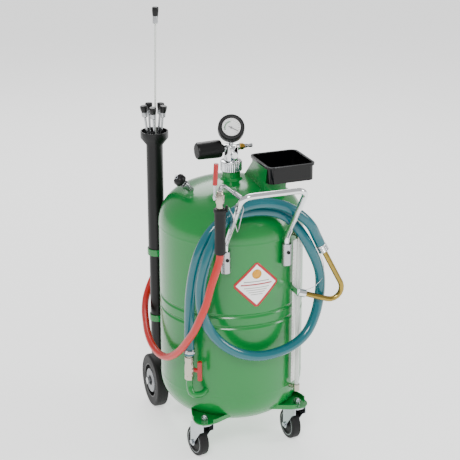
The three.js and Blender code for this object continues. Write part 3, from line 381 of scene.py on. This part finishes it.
class DrainerColours(bpy.types.PropertyGroup):
    """Colours that a user may change, as sRGB hex."""

    tank: bpy.props.StringProperty(
        name="Tank", description="Powder coat of the tank, sRGB hex", default="007A30")
    discharge: bpy.props.StringProperty(
        name="Discharge hose", description="Discharge hose, sRGB hex", default="03606A")
    suction: bpy.props.StringProperty(
        name="Suction hose", description="Suction hose, sRGB hex", default="BB1A14")


# ---- stage and camera --------------------------------------------------------------------

# The camera's place and the point it looks at, in millimetres from the foot of the tank's
# axis, and its lens and sensor.
CAMERA_PLACE = (-1265.7, -3263.1, 1874)
CAMERA_AIM = (-2.7, 1.0, 578.5)
CAMERA_LENS, CAMERA_SENSOR = 111.0, 36.0
CAMERA_REACH = 50

# The floor lies a hair below the wheels, so that no two faces share a plane.
FLOOR_SIZE, FLOOR_DROP = 14, 0.0002
FLOOR_GLOW, WORLD_STRENGTH = 0.85, 0.7

# Name, place in metres, size in metres and power in watts of each soft light.
STUDIO_LIGHTS = (
    ("key_light", (-1.6, -3.0, 3.2), 1.4, 110),
    ("fill_light", (3.0, -1.4, 1.6), 1.2, 42),
    ("back_light", (0.6, 2.8, 2.8), 2.0, 60),
)
LIGHTS_AIM = Vector((0, 0, 0.5))


class DRAINER_OT_stage(bpy.types.Operator):
    """Make the camera, the pale floor and the soft studio light"""

    bl_idname = "drainer.stage"
    bl_label = "Stage"

    def execute(self, context):
        scene = context.scene
        lens = bpy.data.cameras.new("camera")
        lens.lens = CAMERA_LENS
        lens.sensor_width = CAMERA_SENSOR
        lens.clip_end = CAMERA_REACH
        camera = bpy.data.objects.new("camera", lens)
        scene.collection.objects.link(camera)
        camera.location = at(*CAMERA_PLACE)
        view = at(*CAMERA_AIM) - camera.location
        camera.rotation_euler = view.to_track_quat("-Z", "Y").to_euler()
        scene.camera = camera

        # Matt white studio sweep: bright enough to melt into the light round it.
        # It glows a little, as a lit sweep does from the light inside the paper.
        paper = surface("studio_paper", 0xF6F6F5, 0.9, grain=30, relief=0.01, shade=0.01,
                        fixed={"Emission Color": linear(0xFFFFFF),
                               "Emission Strength": FLOOR_GLOW})
        form = bmesh.new()
        bmesh.ops.create_grid(form, x_segments=1, y_segments=1, size=FLOOR_SIZE)
        mesh = from_bmesh(form, "floor")
        mesh.transform(Matrix.Translation((0, 0, -FLOOR_DROP)))
        mesh.materials.append(paper)
        floor = bpy.data.objects.new("floor", mesh)
        scene.collection.objects.link(floor)

        world = bpy.data.worlds.new("studio")
        world.use_nodes = True
        ground = world.node_tree.nodes["Background"]
        ground.inputs["Color"].default_value = linear(0xFBFCFD)
        ground.inputs["Strength"].default_value = WORLD_STRENGTH
        scene.world = world

        for name, place, size, power in STUDIO_LIGHTS:
            lamp = bpy.data.lights.new(name, "AREA")
            lamp.shape = "DISK"
            lamp.size = size
            lamp.energy = power
            light = bpy.data.objects.new(name, lamp)
            scene.collection.objects.link(light)
            light.location = place
            view = LIGHTS_AIM - light.location
            light.rotation_euler = view.to_track_quat("-Z", "Y").to_euler()
        return {"FINISHED"}


# ---- hoses -------------------------------------------------------------------------------

# The routes repeat the frame's own, in metres from the foot of the tank's axis.
DISCHARGE_ROUTE = [
    (-0.1708, -0.1433, 0.30935), (-0.171, -0.144, 0.338),
    (-0.172, -0.149, 0.372), (-0.174, -0.156, 0.408), (-0.176, -0.164, 0.444),
    (-0.177, -0.173, 0.484), (-0.173, -0.185, 0.546), (-0.161, -0.194, 0.604),
    (-0.141, -0.196, 0.644), (-0.112, -0.194, 0.673), (-0.072, -0.190, 0.690),
    (-0.026, -0.188, 0.695), (0.020, -0.186, 0.691), (0.054, -0.186, 0.681),
    (0.082, -0.189, 0.663), (0.104, -0.196, 0.638), (0.122, -0.203, 0.609),
    (0.138, -0.206, 0.577), (0.155, -0.202, 0.543), (0.168, -0.195, 0.508),
    (0.173, -0.190, 0.472), (0.170, -0.190, 0.432), (0.157, -0.196, 0.390),
    (0.132, -0.204, 0.350), (0.095, -0.211, 0.325), (0.045, -0.216, 0.312),
    (-0.007, -0.218, 0.311), (-0.056, -0.218, 0.325), (-0.093, -0.217, 0.348),
    (-0.120, -0.215, 0.374), (-0.141, -0.213, 0.405), (-0.156, -0.213, 0.440),
    (-0.165, -0.216, 0.490), (-0.164, -0.221, 0.540), (-0.152, -0.226, 0.596),
    (-0.131, -0.226, 0.648), (-0.102, -0.221, 0.692), (-0.062, -0.216, 0.717),
    (-0.022, -0.215, 0.724), (0.018, -0.215, 0.721), (0.060, -0.218, 0.708),
    (0.100, -0.220, 0.681), (0.132, -0.216, 0.647), (0.152, -0.208, 0.612),
    (0.1623, -0.2065, 0.591),
]
SUCTION_ROUTE = [
    (-0.09382, 0.20120, 0.54765), (-0.09382, 0.20120, 0.520),
    (-0.100, 0.210, 0.480), (-0.114, 0.221, 0.440), (-0.136, 0.224, 0.400),
    (-0.160, 0.212, 0.364), (-0.180, 0.186, 0.338), (-0.195, 0.150, 0.320),
    (-0.207, 0.105, 0.306), (-0.217, 0.060, 0.294), (-0.221, 0.022, 0.284),
    (-0.220, -0.012, 0.276), (-0.218, -0.046, 0.276), (-0.212, -0.084, 0.284),
    (-0.204, -0.119, 0.304), (-0.196, -0.152, 0.333), (-0.190, -0.182, 0.366),
    (-0.182, -0.210, 0.402), (-0.174, -0.233, 0.444), (-0.163, -0.249, 0.488),
    (-0.152, -0.257, 0.540), (-0.140, -0.261, 0.580), (-0.1325, -0.262, 0.606),
    (-0.130, -0.262, 0.6226),
]
# The earth wire from the ferrule to the nozzle, in millimetres from the foot of the axis.
WIRE_ROUTE = [
    (165, -193.5, 566), (176, -200, 532), (172, -205, 497), (146, -206, 474),
    (126, -203, 468),
]
WIRE_DIAMETER = 1.4
FERRULE_END = (173.7, -208.2, 569)
FERRULE_CRIMPS = 3


class DRAINER_OT_hoses(bpy.types.Operator):
    """Make the discharge hose, the suction hose and the earth wire of the nozzle"""

    bl_idname = "drainer.hoses"
    bl_label = "Hoses"

    def execute(self, context):
        sizes = context.scene.drainer_sizes
        line = through([AXIS + Vector(p) for p in DISCHARGE_ROUTE])
        hose = bent_round("discharge_line", line, sizes.discharge_diameter / MM, "teal_hose")
        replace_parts(hose, "discharge_hose")
        wire_line = through([at(*point) for point in WIRE_ROUTE])
        wire = bent_round("earth_wire", wire_line, WIRE_DIAMETER, "zinc")
        ferrule = self.ferrule()

        line = through([AXIS + Vector(p) for p in SUCTION_ROUTE])
        hose = bent_round("suction_line", line, sizes.suction_diameter / MM, "red_hose")
        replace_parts(hose, "suction_hose")
        return {"FINISHED"}

    def ferrule(self):
        """The crimped sleeve between the discharge hose and its nozzle."""
        start = AXIS + Vector(DISCHARGE_ROUTE[-1])
        end = at(*FERRULE_END)
        run = (end - start).normalized()
        reach = (end - start).length / MM - 1
        outline = [(0, 2), (13.2, 2), (13.8, 3)]
        step = (reach - 7) / FERRULE_CRIMPS
        for i in range(FERRULE_CRIMPS):
            low = 4 + i * step
            outline += [(13.8, low), (12.6, low + step * 0.35), (12.6, low + step * 0.65),
                        (13.8, low + step * 0.95)]
        outline += [(13.8, reach - 2), (10, reach), (0, reach)]
        piece = turned("crimped_ferrule", outline, "crimped_aluminium", 48,
                       facing(start, run))
        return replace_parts(piece, "hose_ferrule")


# ---- tank and label ----------------------------------------------------------------------

# All in millimetres. The heads are dished: a wide crown and a small knuckle at the wall.
LOWER_WELD, UPPER_WELD = 178, 609
SEAM_INSET = 6
KNUCKLE = 90
CROWN_BOTTOM, CROWN_TOP = 500, 312
GROOVES = (381, 412)
GROOVE_DEPTH, GROOVE_HALF = 3.2, 7
NECK, NECK_BORE = 23.5, 17

# The label's half diagonal, the share of it inside the coloured edge, and its middle as
# (arc length from the front, height).
LABEL_HALF, LABEL_BORDER = 64, 0.88
LABEL_MIDDLE = (-4, 497)
LABEL_CELLS = 28
LABEL_CORNER = 1.86
DISC_HEIGHT, DISC_RADIUS, DISC_SIDES = 526, 13, 24
# Height, half length and thickness of each rule, and its finish.
LABEL_RULES = (
    (506, 34, 2.2, "label_grey"), (498, 42, 3.4, "label_red"), (489, 34, 1.6, "label_grey"),
    (483, 28, 1.6, "label_grey"), (477, 22, 1.6, "label_grey"), (471, 16, 1.6, "label_grey"),
)
RULE_CELLS = 8
# How far the films stand off the wall: the label, and the print on it.
FILM, PRINT = 0.5, 0.75


def head_outline(crown, start, steps=14):
    """A dished head from near the axis to the weld, as (radius, rise) in millimetres."""
    inset = TANK_RADIUS - KNUCKLE
    drop = math.sqrt((crown - KNUCKLE) ** 2 - inset ** 2)
    join = math.acos(inset / (crown - KNUCKLE))
    edge = crown * math.cos(join)
    radii = [start + (edge - start) * i / steps for i in range(steps)]
    dome = [(r, math.sqrt(crown ** 2 - r ** 2) - drop) for r in radii]
    turns = [join * (1 - i / steps) for i in range(steps + 1)]
    return dome + [(inset + KNUCKLE * math.cos(t), KNUCKLE * math.sin(t)) for t in turns]


def groove(height):
    """A rolled groove round the tank: a raised cosine in the wall."""
    steps = 10
    spots = [-1 + 2 * i / steps for i in range(steps + 1)]
    return [(TANK_RADIUS - GROOVE_DEPTH * (0.5 + 0.5 * math.cos(math.pi * s)),
             height + GROOVE_HALF * s) for s in spots]


def seam(height, proud):
    """A weld seam: a low rounded bead."""
    return [(TANK_RADIUS, height - 4), (TANK_RADIUS + proud, height - 1.5),
            (TANK_RADIUS + proud, height + 1.5), (TANK_RADIUS, height + 4)]


def on_tank(name, spots, faces, finishes, standoff):
    """A thin film on the tank wall, from (arc length, height) spots in millimetres.

    faces are (corner numbers, number of the finish)."""
    radius = TANK_RADIUS + standoff
    form = bmesh.new()
    verts = [form.verts.new(orbit(math.degrees(s / radius), radius, z)) for s, z in spots]
    for corners, number in faces:
        form.faces.new([verts[i] for i in corners]).material_index = number
    mesh = from_bmesh(form, name)
    piece = keep(mesh, name, finishes[0])
    for finish in finishes[1:]:
        mesh.materials.append(FINISHES[finish])
    thick = piece.modifiers.new("film", "SOLIDIFY")
    thick.thickness = 0.15 * MM
    thick.offset = 0
    return piece


class DRAINER_OT_tank(bpy.types.Operator):
    """Make the smooth tank with its grooves, seams and neck, and the generic front label"""

    bl_idname = "drainer.tank"
    bl_label = "Tank and label"

    def execute(self, context):
        proud = context.scene.drainer_sizes.seam_height / MM
        under = [(r, LOWER_WELD - rise) for r, rise in head_outline(CROWN_BOTTOM, 0)]
        over = [(r, UPPER_WELD + rise) for r, rise in head_outline(CROWN_TOP, NECK + 6)][::-1]
        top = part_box("tank_shell")[1].z / MM
        dome = over[-1][1]
        outline = [*under, *seam(LOWER_WELD + SEAM_INSET, proud)]
        for height in GROOVES:
            outline += groove(height)
        outline += [*seam(UPPER_WELD - SEAM_INSET, proud), *over, (NECK, dome + 6),
                    (NECK, top - 14), (NECK - 3, top - 14), (NECK - 3, top), (NECK_BORE, top),
                    (NECK_BORE, top - 30), (0, top - 30)]
        tank = turned("tank_body", outline, "green_paint", 128, Matrix.Translation(AXIS))
        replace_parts(tank, "tank_shell")
        self.label()
        return {"FINISHED"}

    def label(self):
        """A diamond film with a coloured edge, a plain disc and plain rules: no words."""
        cells, middle = LABEL_CELLS, LABEL_MIDDLE
        count = cells + 1
        spots, faces = [], []
        for i in range(count):
            for j in range(count):
                a, b = 2 * i / cells - 1, 2 * j / cells - 1
                corner = max(0, abs(a) + abs(b) - LABEL_CORNER) * 0.5
                a, b = a * (1 - corner), b * (1 - corner)
                spots.append((middle[0] + (a + b) / 2 * LABEL_HALF,
                              middle[1] + (a - b) / 2 * LABEL_HALF))
        for i in range(cells):
            for j in range(cells):
                a, b = (2 * i + 1) / cells - 1, (2 * j + 1) / cells - 1
                edge = max(abs(a), abs(b)) > LABEL_BORDER
                first = i * count + j
                faces.append(((first, first + count, first + count + 1, first + 1), int(edge)))
        on_tank("front_label", spots, faces, ["label_white", "label_red"], FILM)
        disc = [(middle[0], DISC_HEIGHT)]
        for i in range(DISC_SIDES):
            turn = 2 * math.pi * i / DISC_SIDES
            disc.append((middle[0] + DISC_RADIUS * math.cos(turn),
                         DISC_HEIGHT + DISC_RADIUS * math.sin(turn)))
        fan = [((0, i + 1, (i + 1) % DISC_SIDES + 1), 0) for i in range(DISC_SIDES)]
        on_tank("label_disc", disc, fan, ["label_yellow"], PRINT)
        cells = RULE_CELLS
        quads = [((i, i + 1, i + cells + 2, i + cells + 1), 0) for i in range(cells)]
        for number, (height, reach, thick, finish) in enumerate(LABEL_RULES):
            xs = [middle[0] + reach * (2 * i / cells - 1) for i in range(cells + 1)]
            line = [(x, height + side * thick / 2) for side in (-1, 1) for x in xs]
            on_tank(f"label_rule_{number + 1}", line, quads, [finish], PRINT)


# ---- head and gauge ----------------------------------------------------------------------

KNURL_RIDGES, KNURL_DEPTH = 32, 1.4
# The way the relief cap lifts, and its pull ring: how far out, its size and its wire.
RELIEF_WAY = Vector((-0.70668, 0.02468, 0.70711))
PULL_OFFSET, PULL_RADIUS, PULL_RISE = 0.0135, 0.009, 0.004
PULL_WIRE, PULL_STEPS = 1.3, 32

# The dial, in millimetres from the gauge's pivot and degrees round it.
DIAL_FACE = 6.0
GREEN_FROM, GREEN_TO, GREEN_STEPS = 95, 200, 40
GREEN_RADII = (14.6, 18.6)
TICK_COUNT, TICK_FIRST, TICK_SWEEP = 19, -45, 270
TICK_OUTER = 21.6
TICK_LONG, TICK_SHORT = 4.2, 2.6


class DRAINER_OT_head(bpy.types.Operator):
    """Make the knurled ring nut and the relief valve's pull ring"""

    bl_idname = "drainer.head"
    bl_label = "Head"

    def execute(self, context):
        low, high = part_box("neck_ring_nut")
        bottom, top = low.z / MM, high.z / MM
        nut = turned("knurled_ring_nut", [
            (20.9, bottom), (27.6, bottom), (28.5, bottom + 1.5), (28.5, bottom + 9),
            (28.5, top - 9), (28.5, top - 4), (27, top - 1.5), (24, top), (16.2, top),
            (16.2, top - 6), (20.9, top - 8), (20.9, bottom)], "chrome", 160,
            Matrix.Translation(AXIS),
            ripple=(KNURL_RIDGES, KNURL_DEPTH, bottom + 1, top - 3.9))
        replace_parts(nut, "neck_ring_nut")
        middle = centre_of("relief_cap") + RELIEF_WAY * PULL_OFFSET
        ring = []
        for i in range(PULL_STEPS):
            t = 2 * math.pi * i / PULL_STEPS
            ring.append(middle + Vector((math.cos(t) * 0.2, math.sin(t), 0)) * PULL_RADIUS
                        + Vector((0, 0, math.cos(t))) * PULL_RISE)
        bent_round("relief_pull_ring", ring + ring[:1], PULL_WIRE, "zinc",
                   "moving_relief_cap")
        return {"FINISHED"}


class DRAINER_OT_gauge(bpy.types.Operator):
    """Make the rubber boot, the printed dial and the window of the vacuum gauge"""

    bl_idname = "drainer.gauge"
    bl_label = "Gauge"

    def execute(self, context):
        pivot = next(j for j in frame["joints"] if j["name"] == "gauge_pointer")
        dial = facing(Vector(pivot["pos_m"]), Vector(pivot["axis"]))
        boot = turned("gauge_rubber_boot", [
            (0, -16), (31.5, -16), (34, -13.5), (34.5, -8), (34.5, 10), (34.2, 13.5), (33, 15.4),
            (30.5, 16.4), (26.5, 16.2), (24.2, 15), (23.6, 13.4), (31.9, 13.35), (31.9, -13.35),
            (0, -13.35)], "black_rubber", 72, dial)
        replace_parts(boot, "gauge_boot")
        self.green_band(dial)
        for i in range(TICK_COUNT):
            t = math.radians(TICK_FIRST + TICK_SWEEP * i / (TICK_COUNT - 1))
            long = TICK_LONG if i % 3 == 0 else TICK_SHORT
            spot = Matrix.Rotation(t, 4, "Z") @ Matrix.Translation(
                Vector((TICK_OUTER - long / 2, 0, DIAL_FACE + 0.3)) * MM)
            block(f"dial_tick_{i + 1}", (long, 0.8, 0.25), "dial_black", dial @ spot,
                  round_by=0.05)
        turned("gauge_window", [(0, 10.6), (23.2, 10.6), (23.2, 11.4), (0, 11.9)], "window", 48,
               dial)
        return {"FINISHED"}

    def green_band(self, dial):
        """The green arc printed on the dial."""
        form = bmesh.new()
        first, last = math.radians(GREEN_FROM), math.radians(GREEN_TO)
        height = (DIAL_FACE + 0.35) * MM
        arcs = []
        for i in range(GREEN_STEPS + 1):
            t = first + (last - first) * i / GREEN_STEPS
            arcs.append([form.verts.new((r * MM * math.cos(t), r * MM * math.sin(t), height))
                         for r in GREEN_RADII])
        for a, b in zip(arcs, arcs[1:]):
            form.faces.new((a[0], b[0], b[1], a[1]))
        band = keep(from_bmesh(form, "dial_green_band"), "dial_green_band", "dial_green",
                    place=dial)
        band.modifiers.new("film", "SOLIDIFY").thickness = 0.1 * MM


# ---- wheels ------------------------------------------------------------------------------

# Radius, half width, seat radius and shoulder radius of each kind of tyre, in millimetres.
REAR_TYRE = (75, 16.5, 48.4, 7)
CASTER_TYRE = (41, 12.5, 30, 5)


def rolling_outline(radius, half, inner, shoulder):
    """A tyre's cross-section with rounded shoulders, from its seat and back to it."""
    points = [(inner, -half + 1)]
    for side in (-1, 1):
        for i in range(7):
            t = math.pi / 2 * i / 6
            along = t if side < 0 else math.pi / 2 - t
            points.append((radius - shoulder * (1 - math.sin(along)),
                           side * (half - shoulder * (1 - math.cos(along)))))
    return [*points, (inner, half - 1), points[0]]


class DRAINER_OT_wheels(bpy.types.Operator):
    """Make the smooth tyres of the rear wheels and casters, and the rear hub caps"""

    bl_idname = "drainer.wheels"
    bl_label = "Wheels"

    def execute(self, context):
        for side, out in (("left", -1), ("right", 1)):
            place = facing(centre_of(f"rear_tyre_{side}"), Vector((out, 0, 0)))
            tyre = turned(f"rear_tread_{side}", rolling_outline(*REAR_TYRE), "tyre", 96,
                          place, f"rear_wheel_{side}")
            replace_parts(tyre, f"rear_tyre_{side}")
            cap = [(16, 11), (31, 11), (33, 12), (34, 14), (33, 15.2), (31, 15.6), (16, 15.6),
                   (14.6, 14.4), (14.6, 12), (16, 11)]
            turned(f"hub_ring_{side}", cap, "hub_grey", 64, place, f"rear_wheel_{side}")
            joint = next(j for j in frame["joints"] if j["name"] == f"caster_roll_{side}")
            place = facing(Vector(joint["pos_m"]), Vector(joint["axis"]))
            wheel = [(4.4, -13.4), (9, -13.4), (9, -9.6), (24, -9.6), (25.5, -11), (27, -12.4),
                     *rolling_outline(*CASTER_TYRE)[1:-2],
                     (27, 12.4), (25.5, 11), (24, 9.6), (4.4, 9.6), (4.4, -13.4)]
            roller = turned(f"caster_tread_{side}", wheel, "tyre", 72, place,
                            f"caster_roller_{side}")
            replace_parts(roller, f"caster_wheel_{side}")
            for face in (-1, 1):
                ring = [(29.4, face * 12.3), (30.6, face * 12.9), (31.8, face * 12.3),
                        (29.4, face * 12.3)]
                turned(f"caster_ring_{side}_{'in' if face < 0 else 'out'}", ring, "hub_grey",
                       64, place, f"caster_roller_{side}")
        return {"FINISHED"}


# ---- small fittings ----------------------------------------------------------------------

# The level scale's place round the tank, and its marks, in degrees and millimetres.
SCALE_ANGLE, SCALE_RADIUS = 33.5, 201
MARK_PITCH, MARK_LONG, MARK_SHORT, MARK_EDGE = 10, 3.4, 2.0, 9.6


def hose_clamp(name, middle, run, radius, towards):
    """A worm-drive clamp round a hose: a steel band and its screw housing."""
    place = facing(middle, run)
    band = [(radius, -5), (radius + 0.9, -5), (radius + 0.9, 5), (radius, 5), (radius, -5)]
    turned(f"{name}_band", band, "brushed_steel", 48, place)
    out = Vector(towards).normalized()
    across = Vector(run).normalized().cross(out)
    box = facing(middle + out * (radius + 3.2) * MM, out)
    block(f"{name}_housing", (14, 8.5, 5), "brushed_steel", box,
          round_by=1.2)
    screw = facing(middle + out * (radius + 3.4) * MM + across * 9 * MM, across)
    turned(f"{name}_screw", [(0, -4), (3.3, -4), (3.3, 2), (2.6, 2.8), (0, 2.8)], "zinc", 6,
           screw)


class DRAINER_OT_fittings(bpy.types.Operator):
    """Make the hose clamps, the handle's screws and the sight glass scale"""

    bl_idname = "drainer.fittings"
    bl_label = "Small fittings"

    def execute(self, context):
        drain = AXIS + Vector(DISCHARGE_ROUTE[0])
        hose_clamp("drain_clamp", drain + Vector((0, 0, 12 * MM)), (0, 0, 1), 13.3,
                   (-0.2, -1, 0))
        inlet = AXIS + Vector(SUCTION_ROUTE[0])
        hose_clamp("inlet_clamp", inlet - Vector((0, 0, 11 * MM)), (0, 0, 1), 9.8, (0.2, 1, 0))
        for side in ("left", "right"):
            low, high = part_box(f"handle_socket_{side}")
            spot = Vector(((low.x + high.x) / 2, low.y - 1 * MM, (low.z + high.z) / 2 + 8 * MM))
            head = [(0, -4), (4.6, -4), (4.6, 1.6), (4.0, 2.2), (2.4, 2.2), (2.2, 0.4), (0, 0.4)]
            turned(f"handle_screw_{side}", head, "black_plastic", 24,
                   facing(spot, (0, -1, 0)))
        self.scale()
        return {"FINISHED"}

    def scale(self):
        """The white level scale behind the sight tube, with a mark every 10 mm."""
        low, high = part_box("sight_tube")
        bottom, top = low.z / MM + 6, high.z / MM - 6
        out = orbit(SCALE_ANGLE, 1) - AXIS
        strip = facing(orbit(SCALE_ANGLE, SCALE_RADIUS, (bottom + top) / 2), out)
        block("level_scale", (20, top - bottom, 1.2), "label_white", strip, round_by=0.3)
        marks = int((top - bottom - 12) // MARK_PITCH)
        for side in (-1, 1):
            form = bmesh.new()
            for i in range(marks):
                wide = MARK_LONG if i % 5 == 0 else MARK_SHORT
                across = side * (MARK_EDGE - wide / 2)
                along = (bottom - top) / 2 + 8 + MARK_PITCH * i
                spot = Matrix.Translation(Vector((across, along, 0.75)) * MM)
                size = Matrix.Diagonal((wide * MM, 1.1 * MM, 0.3 * MM, 1))
                bmesh.ops.create_cube(form, size=1, matrix=spot @ size)
            name = f"level_marks_{'left' if side < 0 else 'right'}"
            keep(from_bmesh(form, name), name, "label_red", place=strip)


# ---- finishes on the CAD nodes -----------------------------------------------------------

# Where a probe's one node changes finish, in millimetres down from its top.
PROBE_CAP, PROBE_NUT = 20, 40
# How far the dipped sleeve reaches down the wand's lever, in millimetres from its top.
LEVER_SLEEVE = 56


class DRAINER_OT_frame_finishes(bpy.types.Operator):
    """Give every CAD node that stays in view its finish and softened edges"""

    bl_idname = "drainer.frame_finishes"
    bl_label = "Frame finishes"

    def execute(self, context):
        for row in frame["record"]["subparts"]:
            node = frame["nodes"][row["node"]]
            mesh = node.data
            mesh.materials.clear()
            mesh.materials.append(FINISHES[row["material_slot"]])
            for face in mesh.polygons:
                face.use_smooth = True
                face.material_index = 0
            if "custom_normal" in mesh.attributes:
                mesh.attributes.remove(mesh.attributes["custom_normal"])
            weld = node.modifiers.new("weld", "WELD")
            weld.merge_threshold = 0.01 * MM
            soften(node, 0.35, 50)
            if row["node"].startswith("probe_") and "holder" not in row["node"]:
                self.probe(mesh)
            if row["node"] == "wand_lever":
                self.lever(mesh)
        return {"FINISHED"}

    def probe(self, mesh):
        """A knurled black cap over a steel nut; the rod below keeps the node's finish."""
        mesh.materials.append(FINISHES["black_plastic"])
        mesh.materials.append(FINISHES["brushed_steel"])
        top = max(v.co.z for v in mesh.vertices)
        for face in mesh.polygons:
            drop = (top - face.center.z) / MM
            if drop < PROBE_CAP:
                face.material_index = 1
            elif drop < PROBE_NUT:
                face.material_index = 2

    def lever(self, mesh):
        """The lever's lower arm is bare steel below its dipped sleeve."""
        mesh.materials.append(FINISHES["zinc"])
        top = max(v.co.z for v in mesh.vertices)
        for face in mesh.polygons:
            if (top - face.center.z) / MM > LEVER_SLEEVE:
                face.material_index = 1


# ---- panel and registration --------------------------------------------------------------

STEPS = ("stage", "hoses", "tank", "head", "gauge", "wheels", "fittings", "frame_finishes")


class DRAINER_PT_panel(bpy.types.Panel):
    """Lists the drainer's settings and its pieces in the order they are made"""

    bl_idname = "DRAINER_PT_panel"
    bl_label = "Suction Drainer"
    bl_space_type = "VIEW_3D"
    bl_region_type = "UI"
    bl_category = "Drainer"

    def draw(self, context):
        for group in (context.scene.drainer_sizes, context.scene.drainer_colours):
            for name in group.__annotations__:
                self.layout.prop(group, name)
        for step in STEPS:
            self.layout.operator(f"drainer.{step}")


CLASSES = (
    DrainerSizes, DrainerColours, DRAINER_OT_stage, DRAINER_OT_hoses, DRAINER_OT_tank,
    DRAINER_OT_head, DRAINER_OT_gauge, DRAINER_OT_wheels, DRAINER_OT_fittings,
    DRAINER_OT_frame_finishes, DRAINER_PT_panel,
)


def register():
    """Registers the classes and the settings on the scene."""
    for item in CLASSES:
        bpy.utils.register_class(item)
    bpy.types.Scene.drainer_sizes = bpy.props.PointerProperty(type=DrainerSizes)
    bpy.types.Scene.drainer_colours = bpy.props.PointerProperty(type=DrainerColours)


def unregister():
    """Removes the settings and the classes."""
    del bpy.types.Scene.drainer_colours
    del bpy.types.Scene.drainer_sizes
    for item in reversed(CLASSES):
        bpy.utils.unregister_class(item)


def main():
    """Makes the whole drainer."""
    register()
    make_finishes()
    for step in STEPS:
        getattr(bpy.ops.drainer, step)()


if __name__ == "__main__":
    main()
